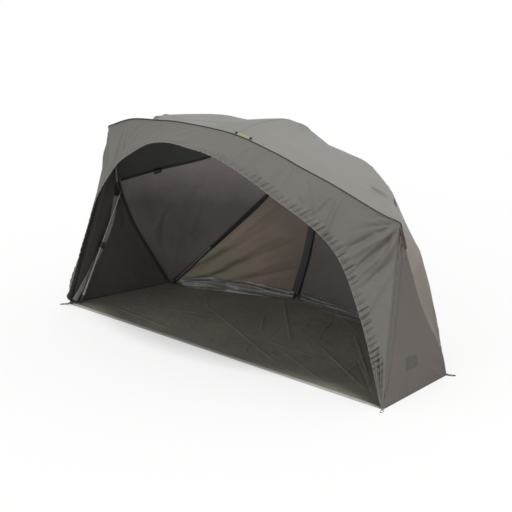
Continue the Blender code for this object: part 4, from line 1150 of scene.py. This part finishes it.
# Each strip's name, panel, low (0) or high (1) edge, ends, width, outer (1) or inner (-1)
# face, look and slot
EDGE_STRIPS = (
    ("eaves_seam", "back_wall", 0, (0.02, 0.995), SEAM_WIDTH, 1, BACK_SEAM, "wall_cloth"),
    ("back_rib_seam", "back_wall", 1, (0.02, 0.99), SEAM_WIDTH, 1, BACK_SEAM, "wall_cloth"),
    ("rear_rib_seam", "rear_wall", 1, (0.02, 0.985), SEAM_WIDTH, 1, BACK_SEAM, "wall_cloth"),
    ("side_seam", "side_wall", 1, (0.0, 0.985), SEAM_WIDTH, 1, SIDE_SEAM_LOOK, "wall_cloth"),
    ("eaves_tape", "back_wall", 0, (0.04, 0.995), TAPE_WIDTH, -1, INNER_TAPE, "webbing"),
    ("back_rib_tape", "rear_wall", 0, (0.05, 0.985), TAPE_WIDTH * 1.3, -1, INNER_TAPE, "webbing"),
    ("side_tape", "side_wall", 1, (0.0, 0.985), TAPE_WIDTH * 1.2, -1, INNER_TAPE, "webbing"),
    ("front_edge_tape", "side_wall", 0, (0.0, 0.985), TAPE_WIDTH, -1, INNER_TAPE, "webbing"),
    ("rear_sleeve", "rear_wall", 1, (0.2, 0.985), SLEEVE_WIDTH, -1, SLEEVE_TAPE, "webbing"),
    ("ridge_seam", "roof", 0, (0.03, 0.98), SEAM_WIDTH, 1, ROOF_SEAM, "canopy_cloth"),
    ("ridge_tape", "roof", 0, (0.03, 0.98), TAPE_WIDTH / 2, -1, INNER_TAPE, "webbing"))


def add_seams(side, sign):
    """The felled seams outside and the dark tapes and sleeves inside, for one half."""
    half = half_panels(sign)
    for name, key, edge, ends, width, face, look, slot in EDGE_STRIPS:
        panel = half[key]
        share = between(*ends)
        across = beside(panel, share, edge, width / 2)
        out = panel.read(panel.out, share, across) * face
        strip(side + "_" + name, panel.at(share, across) + out * CLOTH / 2, out,
              (width, SEAM_RISE if face > 0 else TAPE_RISE), look,
              side + "_" + key + "_cloth")


STRAP_SIZE = (0.014, 0.0014)
STRAP_OFF_WALL = 0.005
INNER_STRAP = ((0.3, 0.92), (0.36, 0.82), (0.45, 0.85), (0.6, 0.79))
INNER_STRAP_JOINT = 0.44
POLE_BAND_SIZE = (0.034, 0.0014)
POLE_BAND_LINE = ((0.385, 0.79), (0.446, 0.7), (0.569, 0.57), (0.708, 0.4), (0.838, 0.27),
                  (0.931, 0.17), (0.985, 0.1))
TOGGLE_SIZE = (0.024, 0.012)
TOGGLE_REACH = 0.02
EAVES_TOGGLE = (0.82, 0.85)
EAVES_TOGGLE_IN = 0.014


def inner_band(name, panel, alongs, acrosses, size, look, on):
    """A band that hangs against a panel's inner face, its size a width and a thickness."""
    out = -panel.read(panel.out, alongs, acrosses)
    strip(name, panel.at(alongs, acrosses) + out * STRAP_OFF_WALL, out, size, look,
          on)


def add_inner_trim(side, sign):
    """The band behind the storm pole, the hanging strap and the toggles, for one half."""
    half = half_panels(sign)
    wall = half["side_wall"]
    on = side + "_side_wall_cloth"
    # The pale band beside the pole is painted light on the cloth's fold there.
    marks, places = zip(*POLE_BAND_LINE)
    alongs = between(marks[0], marks[-1], 90)
    inner_band(side + "_pole_band", wall, alongs, np.interp(alongs, marks, places),
               POLE_BAND_SIZE, POLE_BAND, on)
    marks, places = zip(*INNER_STRAP)
    for part, first, last, look in (("top", marks[0], INNER_STRAP_JOINT, BLACK_WEBBING),
                                    ("end", INNER_STRAP_JOINT, marks[-1], BROWN_WEBBING)):
        alongs = between(first, last, 20)
        inner_band(side + "_hanging_strap_" + part, wall, alongs,
                   np.interp(alongs, marks, places), STRAP_SIZE, look, on)
    alongs = between(marks[1] - TOGGLE_REACH, marks[1] + TOGGLE_REACH, 8)
    inner_band(side + "_strap_toggle", wall, alongs, np.interp(alongs, marks, places),
               TOGGLE_SIZE, BLACK_PLASTIC, on)
    alongs = between(*EAVES_TOGGLE, 8)
    inner_band(side + "_eaves_toggle", half["back_wall"], alongs,
               beside(half["back_wall"], alongs, 0, EAVES_TOGGLE_IN), TOGGLE_SIZE,
               BLACK_PLASTIC, side + "_back_wall_cloth")


for side, sign in SIDES.items():
    add_seams(side, sign)
    add_inner_trim(side, sign)


# Flap on the ground at the foot of the rear walls

FLAP_TOP = 0.068
FLAP_LEAST = 0.3
FLAP_REACH = 0.1
FLAP_FOLD = 0.015
FLAP_CLEAR = 0.0035
FLAP_KNEE_IN = 0.014
FLAP_KNEE_UP = 0.01
FLAP_ENDS = (0.035, 0.965)
FLAP_GRID = (150, 41)


def add_flap(name, wall, wall_height, ground, tapered):
    """A loose coated skirt from a wall's foot onto the groundsheet, in long shiny folds."""
    u = between(*FLAP_ENDS, FLAP_GRID[0])
    v = between(0, 1, FLAP_GRID[1])
    size = np.sin(math.pi * u ** 0.7) if tapered else np.zeros_like(u)
    rise = FLAP_TOP * (FLAP_LEAST + (1 - FLAP_LEAST) * size)
    foot = ground.at(u)
    inward = unit((INSIDE - foot) * (1.0, 1.0, 0.0))
    top = wall.at(1 - rise / wall_height, u, -FLAP_CLEAR)
    knee = foot + inward * FLAP_KNEE_IN
    knee[:, 2] = SHEET + FLAP_KNEE_UP
    end = foot + inward * FLAP_REACH
    end[:, 2] = SHEET + FLAP_CLEAR
    s = v[None, :, None]
    grid = top[:, None] * (1 - s) ** 2 + 2 * knee[:, None] * s * (1 - s) + end[:, None] * s ** 2
    out = np.broadcast_to(unit(inward + UP * 1.2)[:, None], grid.shape)
    wave = np.sin(2 * math.pi * (2.1 * v[None, :] + 0.5 * wander(u * 0.7, 3.0)[:, None]))
    wave = wave + 0.4 * np.sin(2 * math.pi * (3.7 * v[None, :] - u[:, None] * 2.2))
    bell = np.sin(math.pi * v)[None, :] ** 0.7
    rise = FLAP_FOLD * (0.3 + 0.7 * size[:, None]) * (wave + 0.7) * bell
    grid = grid + out * rise[..., None]
    grid[..., 2] = np.maximum(grid[..., 2], SHEET + FLAP_CLEAR)
    # The flap's pale colour is partly a painted highlight.
    sheet_piece(name, Panel(grid, out), FLAP_CLOTH, FLAP_CLOTH,
                ["groundsheet"], held="gathered", folding=False)


for side, sign in SIDES.items():
    add_flap(side + "_rear_flap", half_panels(sign)["rear_wall"], REAR_RIB.length,
             BACK_GROUND if sign > 0 else mirrored(BACK_GROUND), True)
add_flap("rear_centre_flap", REAR_MIDDLE, REAR_RIB.length, REAR_GROUND, False)


# Piping, tab, patches, crown and loops

PIPING_RADIUS = 0.003
PIPING_CLEARANCE = 0.0004
PIPING_ROUNDS = 6
STRAP_LENGTH = 0.16
STRAP_END = (0.085, 0.165)
STRAP_END_SIZE = (0.012, 0.0042)
TAB_LENGTH = 0.14
TAB_SIZE = (0.019, 0.0012)
TAB_START = 0.004
TAB_BACK = 0.017
TAB_ARCH = 0.0045
TAB_POINTS = 60
TAB_BAR_SIZE = (0.022, 0.0012)
TAB_BAR_LIFT = 0.0008
TAB_BAR_POINTS = 9


def raised(seam, share, height):
    """Places along a seam, moved out of the shelter by a height, and the way out."""
    place = seam.at(share)
    along = unit(seam.at(np.minimum(share + 0.01, 1)) - seam.at(np.maximum(share - 0.01, 0)))
    away = place - INSIDE
    away = square_to(away, along)
    return place + away * height, away


def add_piping():
    """The dark piped cord along the roof's front edge, with its ends down the shoulders."""
    clear = PIPING_RADIUS + PIPING_CLEARANCE
    right, out = raised(FRONT_SEAM, between(0, 1, 150), clear)
    down, down_out = raised(WALL_EDGE, between(0.004, STRAP_LENGTH / WALL_EDGE.length, 30), clear)
    right = np.concatenate((right, down))
    out = np.concatenate((out, down_out))
    places = np.concatenate((right[:0:-1] * MIRROR, right))
    outs = np.concatenate((out[:0:-1] * MIRROR, out))
    for _ in range(PIPING_ROUNDS):
        places[1:-1] = (places[:-2] + 2 * places[1:-1] + places[2:]) / 4
    made = cord("front_piping_cord", places, outs, PIPING_RADIUS, PIPING,
                "visor_cloth_panel")
    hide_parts("front_piping")
    end, end_out = raised(WALL_EDGE, between(*STRAP_END, 20) / WALL_EDGE.length, clear)
    for side, sign in SIDES.items():
        flip = flip_of(sign)
        strip(side + "_strap_end", end * flip, end_out * flip, STRAP_END_SIZE, BROWN_WEBBING,
              "visor_cloth_panel")


def add_tab():
    """The olive webbing tab sewn beside the ridge, with a black bar at each end."""
    roof = PANELS["roof"]
    width = between(TAB_START, TAB_START + TAB_LENGTH, TAB_POINTS)
    along = 1 - TAB_BACK / RIDGE.length
    across = width / FRONT_SEAM.length * (ROOF_COLUMNS[0] - 1) / (sum(ROOF_COLUMNS) - 2)
    out = roof.read(roof.out, along, across)
    arch = np.sin(between(0, math.pi, TAB_POINTS))[:, None] * TAB_ARCH
    lean = unit(out - BACKWARD * 0.9)
    centre = roof.at(along, across, 0.0015) + out * arch
    made = strip("ridge_tab_webbing", centre, lean, TAB_SIZE, OLIVE_WEBBING,
                 "right_roof_cloth")
    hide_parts("ridge_tab")
    for name, ends in (("inner", slice(0, TAB_BAR_POINTS)),
                       ("outer", slice(TAB_POINTS - TAB_BAR_POINTS, TAB_POINTS))):
        strip("ridge_tab_bar_" + name, centre[ends] + lean[ends] * TAB_BAR_LIFT, lean[ends],
              TAB_BAR_SIZE, BLACK_WEBBING, "right_roof_cloth")


PATCH_LOW = (0.771, 0.36)
PATCH_HIGH = (0.849, 0.58)
PATCH_POINTS = 25
PATCH_LIFT = 0.0006
PATCH_RISE = 0.0008
PATCH_THICKNESS = 0.0005


def add_patch(side, sign):
    """A plain sewn patch low on the side wall."""
    wall = half_panels(sign)["side_wall"]
    top = SIDE_WALL_TOP / min(FRONT_EDGE.length, WALL_EDGE.length)
    along = (between(PATCH_LOW[0], PATCH_HIGH[0], PATCH_POINTS) - top) / (1 - top)
    across = between(PATCH_LOW[1], PATCH_HIGH[1], PATCH_POINTS) ** (1 / SIDE_CROWDING)
    u, v = np.meshgrid(along, across, indexing="ij")
    inside = np.minimum(between(0, 1, PATCH_POINTS), between(1, 0, PATCH_POINTS))
    edge = np.minimum(inside * 12, 1)
    rise = PATCH_LIFT + PATCH_RISE * np.minimum(edge[:, None], edge[None, :])
    out = wall.read(wall.out, u, v)
    sheet_piece(side + "_side_patch", Panel(wall.at(u, v) + out * rise[..., None], out),
                PATCH_CLOTH, PATCH_CLOTH, [side + "_side_wall_cloth"],
                thickness=PATCH_THICKNESS)


CROWN_PATCH_RADIUS = 0.058
CROWN_PATCH_DOME = 0.0085
CROWN_PATCH_LIFT = 0.0012
CROWN_PUCKER_COUNT = 14
CROWN_PUCKER_HEIGHT = 0.0005


def cloth_height(places):
    """How far the cloth round the crown stands above the crown's plane, near each place."""
    near = [REAR_MIDDLE.grid]
    for sign in SIDES.values():
        near += [panel.grid for panel in half_panels(sign).values()]
    near = np.concatenate([grid.reshape(-1, 3) for grid in near])
    near = near[np.linalg.norm(near - CROWN, axis=1) < CROWN_PATCH_RADIUS * 2] - CROWN
    flat = near + np.outer(-near @ POLE_AXIS, POLE_AXIS)
    distance = np.linalg.norm((places - CROWN)[:, :, None] - flat, axis=-1)
    weight = 1 / (distance + 0.001) ** 5
    return (weight * -(near @ POLE_AXIS)).sum(axis=-1) / weight.sum(axis=-1)


def add_crown_patch():
    """The domed cloth patch that covers the crown's cap."""
    angle, ring = np.meshgrid(between(0, 2 * math.pi, 61), between(0.02, 1, 20))
    out = ring_spot(angle, 1.0) - CROWN
    flat = CROWN + out * (ring * CROWN_PATCH_RADIUS)[..., None]
    dome = CROWN_PATCH_DOME * fade(ring, 0.2, 0.85)
    height = cloth_height(flat) + CROWN_PATCH_LIFT + dome
    puckers = CROWN_PUCKER_HEIGHT * np.cos(angle * CROWN_PUCKER_COUNT)
    height = height + puckers * np.sin(math.pi * ring)
    grid = flat - POLE_AXIS * height[..., None]
    sheet_piece("crown_patch", Panel(grid, np.broadcast_to(-POLE_AXIS, grid.shape)),
                ROOF_CLOTH, ROOF_CLOTH, ["crown_boss"], "crown_cap",
                folding=False)


STITCH_ENDS = 12
STITCH_SIZE = (0.0026, 0.0009)


def add_casing_stitch():
    """The row of stitches along the inner edge of the hem's casing."""
    rows, columns = VISOR.grid.shape[:2]
    spans = np.linalg.norm(np.diff(VISOR.grid, axis=1), axis=-1)
    from_hem = np.cumsum(spans[:, ::-1], axis=1)[:, ::-1]
    line = []
    outs = []
    for row in range(STITCH_ENDS, rows - STITCH_ENDS, 2):
        column = np.interp(-CASING_WIDTH, -from_hem[row], np.arange(columns - 1))
        place = (row / (rows - 1), column / (columns - 1))
        line.append(VISOR.at(*place, CLOTH / 2))
        outs.append(VISOR.read(VISOR.out, *place))
    strip("casing_stitch", np.array(line), np.array(outs), STITCH_SIZE, STITCH,
          "visor_cloth_panel")


HEM_CORD_RADIUS = 0.002
HEM_CORD_ENDS = 6


def add_hem_cord():
    """The corded edge of the visor's hem."""
    rows = slice(HEM_CORD_ENDS, -HEM_CORD_ENDS)
    # The cord's lighter colour is a painted highlight.
    cord("hem_cord", VISOR.grid[rows, -1], VISOR.out[rows, -1], HEM_CORD_RADIUS, HEM_CORD,
         "visor_cloth_panel")


LOOP_LENGTH = 0.05
LOOP_WIDTH = 0.016
LOOP_RADIUS = 0.002
LOOP_CLEARANCE = 0.0004
LOOP_TURNS = {"front": math.radians(-58), "back": math.radians(30)}
LOOP_BAND = (-0.03, 0.009)
LOOP_BAND_SIZE = (0.015, 0.0013)
LOOP_BAND_LIFT = 0.004
LOOP_BAND_SLOPE = 0.15


def add_loop(side, sign, place, corner):
    """A cord peg loop on the ground, with the webbing that holds it to the corner."""
    turn = LOOP_TURNS[place]
    flip = flip_of(sign)
    away = (ACROSS * math.cos(turn) + BACKWARD * math.sin(turn)) * flip
    corner = corner * flip
    middle = np.array((corner[0], corner[1], LOOP_RADIUS))
    middle = middle + away * (LOOP_LENGTH / 2 + LOOP_RADIUS + LOOP_CLEARANCE)
    sideways = np.cross(UP, away)
    angle = np.linspace(0, 2 * math.pi, 56, endpoint=False)[:, None]
    line = middle + away * np.cos(angle) * LOOP_LENGTH / 2
    line = line + sideways * np.sin(angle) * LOOP_WIDTH / 2
    name = side + "_" + place + "_loop"
    look = GREY_CORD if place == "front" else BLACK_WEBBING
    made = cord(name + "_cord", line, UP, LOOP_RADIUS, look, "groundsheet_cloth",
                closed=True)
    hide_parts(name)
    reach = between(*LOOP_BAND, 20)[:, None]
    high = SHEET + LOOP_BAND_LIFT
    lift = np.where(reach < 0, high, high - reach * LOOP_BAND_SLOPE)
    band = np.array((corner[0], corner[1], 0.0)) + away * reach + UP * lift
    strip(name + "_webbing", band, UP, LOOP_BAND_SIZE, look, "groundsheet_cloth")


add_piping()
add_tab()
add_crown_patch()
add_casing_stitch()
add_hem_cord()
for side, sign in SIDES.items():
    add_patch(side, sign)
    add_loop(side, sign, "front", FRONT_PEG)
    add_loop(side, sign, "back", BACK_PEG)


# Ties that hold the ribs to the cloth

TIE_SIZE = (0.016, 0.0012)
TIE_GAP = 0.0006
TIE_SHARES = (0.3, 0.5, 0.7)


def add_tie(name, seam, share, flip, body):
    """A band of webbing wrapped round a rib below its seam."""
    place, out = raised(seam, np.array([share]), -(ROD_RADIUS + CAD_CLOTH / 2 + ROD_CLEARANCE))
    along = unit(seam.at(share + 0.01) - seam.at(share - 0.01)) * flip
    out = out[0] * flip
    angle = np.linspace(0, 2 * math.pi, 28, endpoint=False)[:, None]
    ring = np.cos(angle) * out + np.sin(angle) * np.cross(along, out)
    strip(name, place[0] * flip + ring * (ROD_RADIUS + TIE_GAP), ring, TIE_SIZE,
          BLACK_WEBBING, body=body, closed=True)


def add_ties():
    """The ties of every rib."""
    rows = (("shoulder", SHOULDER, TIE_SHARES), ("back", BACK_RIB, TIE_SHARES[:2]),
            ("rear", REAR_RIB, TIE_SHARES))
    for side, sign in SIDES.items():
        for rib, seam, places in rows:
            for number, share in enumerate(places):
                name = "%s_%s_tie_%d" % (side, rib, number)
                add_tie(name, seam, share, flip_of(sign), "%s_%s_rib" % (side, rib))
    for number, share in enumerate(TIE_SHARES):
        add_tie("front_tie_%d" % number, RIDGE, share, np.ones(3), "front_rib")


add_ties()


# Finishes of the carried-over solids

SLOT_LOOKS = {"rod_metal": ROD_METAL, "tube_metal": TUBE_METAL, "black_plastic": BLACK_PLASTIC,
              "steel": STEEL, "webbing": BLACK_WEBBING, "olive_tape": OLIVE_WEBBING,
              "canopy_cloth": ROOF_CLOTH, "visor_cloth": VISOR_CLOTH, "wall_cloth": SIDE_CLOTH,
              "ground_cloth": GROUND_CLOTH}
SHARP_ANGLE = math.radians(38)
for entry in frame["record"]["subparts"]:
    node = frame["nodes"][entry["node"]]
    node.data.materials.clear()
    node.data.materials.append(SLOT_LOOKS[entry["material_slot"]])
    if not node.hide_render:
        node.data.shade_smooth()
        node.data.set_sharp_from_angle(angle=SHARP_ANGLE)


# A mesh of its own for each piece in the cloth list

for piece in CLOTH_PIECES:
    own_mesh(piece)


# Stage, light and camera

FLOOR_HALF = 40.0
FLOOR_DROP = 0.0005
FLOOR_COLOR = (0.95, 0.95, 0.945, 1.0)
FLOOR_WHITE = 0.5
WHITE = (1.0, 1.0, 1.0, 1.0)


def add_floor():
    """A white floor; the camera sees a share of it as plain white, so shadows stay soft."""
    look = Look("floor_paint", Roughness=0.9, Specular_IOR_Level=0.0)
    look.shader.inputs["Base Color"].default_value = FLOOR_COLOR
    seen = look.math("MULTIPLY", look.add("LightPath").outputs["Is Camera Ray"], FLOOR_WHITE)
    shown = look.blend(seen, look.shader.outputs[0], look.add("Emission").outputs[0])
    output = next(node for node in look.tree.nodes if node.type == "OUTPUT_MATERIAL")
    look.join(shown, output.inputs["Surface"])
    verts = [(-FLOOR_HALF, -FLOOR_HALF, 0), (FLOOR_HALF, -FLOOR_HALF, 0),
             (FLOOR_HALF, FLOOR_HALF, 0), (-FLOOR_HALF, FLOOR_HALF, 0)]
    mesh = bpy.data.meshes.new("floor")
    mesh.from_pydata(verts, [], [(0, 1, 2, 3)])
    mesh.materials.append(look.made)
    made = placed("floor", mesh)
    made.location.z = -FLOOR_DROP


def point_along(made, direction):
    """Turn a lamp or camera to look along a direction."""
    made.rotation_mode = "QUATERNION"
    made.rotation_quaternion = direction.to_track_quat("-Z", "Y")


def add_sun(name, toward, strength, angle):
    """A soft sun that shines along a direction."""
    data = bpy.data.lights.new(name, "SUN")
    data.energy = strength
    data.angle = math.radians(angle)
    point_along(placed(name, data), Vector(toward))


def add_world(strength, share, toward):
    """A soft sky, brighter by a share towards one side, that the camera sees as white."""
    world = bpy.data.worlds.new("studio")
    world.use_nodes = True
    nodes = Nodes(world.node_tree)
    nodes.tree.nodes.clear()
    facing = nodes.add("VectorMath")
    facing.operation = "DOT_PRODUCT"
    nodes.join(nodes.add("TexCoord").outputs["Generated"], facing.inputs[0])
    facing.inputs[1].default_value = toward
    level = nodes.math("MULTIPLY_ADD", facing.outputs["Value"], strength * share, strength)
    lit = nodes.add("Background", Color=WHITE, Strength=level)
    back = nodes.add("Background", Color=WHITE, Strength=1.0)
    path = nodes.add("LightPath").outputs
    clear = nodes.math("MAXIMUM", path["Is Camera Ray"], path["Is Glossy Ray"])
    shown = nodes.blend(clear, lit.outputs[0], back.outputs[0])
    nodes.add("OutputWorld", Surface=shown)
    bpy.context.scene.world = world


CAMERA_AZIMUTH = math.radians(45)
CAMERA_SINE = 0.333
CAMERA_DISTANCE = 120.0
PIXELS_A_METRE = 177.6
FRAME_PIXELS = 512
ORIGIN_PIXEL = (225.0, 356.5)
SENSOR_WIDTH = 36.0


def add_camera():
    """A distant camera at the photograph's angle and framing."""
    cosine = math.sqrt(1 - CAMERA_SINE ** 2)
    right = Vector((math.cos(CAMERA_AZIMUTH), math.sin(CAMERA_AZIMUTH), 0.0))
    flat_back = Vector((math.sin(CAMERA_AZIMUTH), -math.cos(CAMERA_AZIMUTH), 0.0))
    back = flat_back * cosine + Vector((0, 0, CAMERA_SINE))
    up = Vector((0, 0, cosine)) - flat_back * CAMERA_SINE
    middle = FRAME_PIXELS / 2
    target = Vector((0.0, FRONT_LINE, 0.0))
    target += right * (middle - ORIGIN_PIXEL[0]) / PIXELS_A_METRE
    target += up * (ORIGIN_PIXEL[1] - middle) / PIXELS_A_METRE
    data = bpy.data.cameras.new("camera")
    data.sensor_width = SENSOR_WIDTH
    data.lens = PIXELS_A_METRE * CAMERA_DISTANCE / FRAME_PIXELS * SENSOR_WIDTH
    data.clip_end = CAMERA_DISTANCE * 3
    made = placed("camera", data)
    made.location = target + back * CAMERA_DISTANCE
    point_along(made, -back)
    bpy.context.scene.camera = made


add_floor()
add_sun("key", toward=(-0.26, 0.12, -0.96), strength=1.69, angle=10)
add_sun("fill", toward=(-0.2, 0.9, -0.4), strength=0.19, angle=40)
add_world(strength=0.52, share=0.3, toward=(0.75, -0.45, 0.0))
add_camera()
bpy.context.scene.view_settings.view_transform = "Standard"
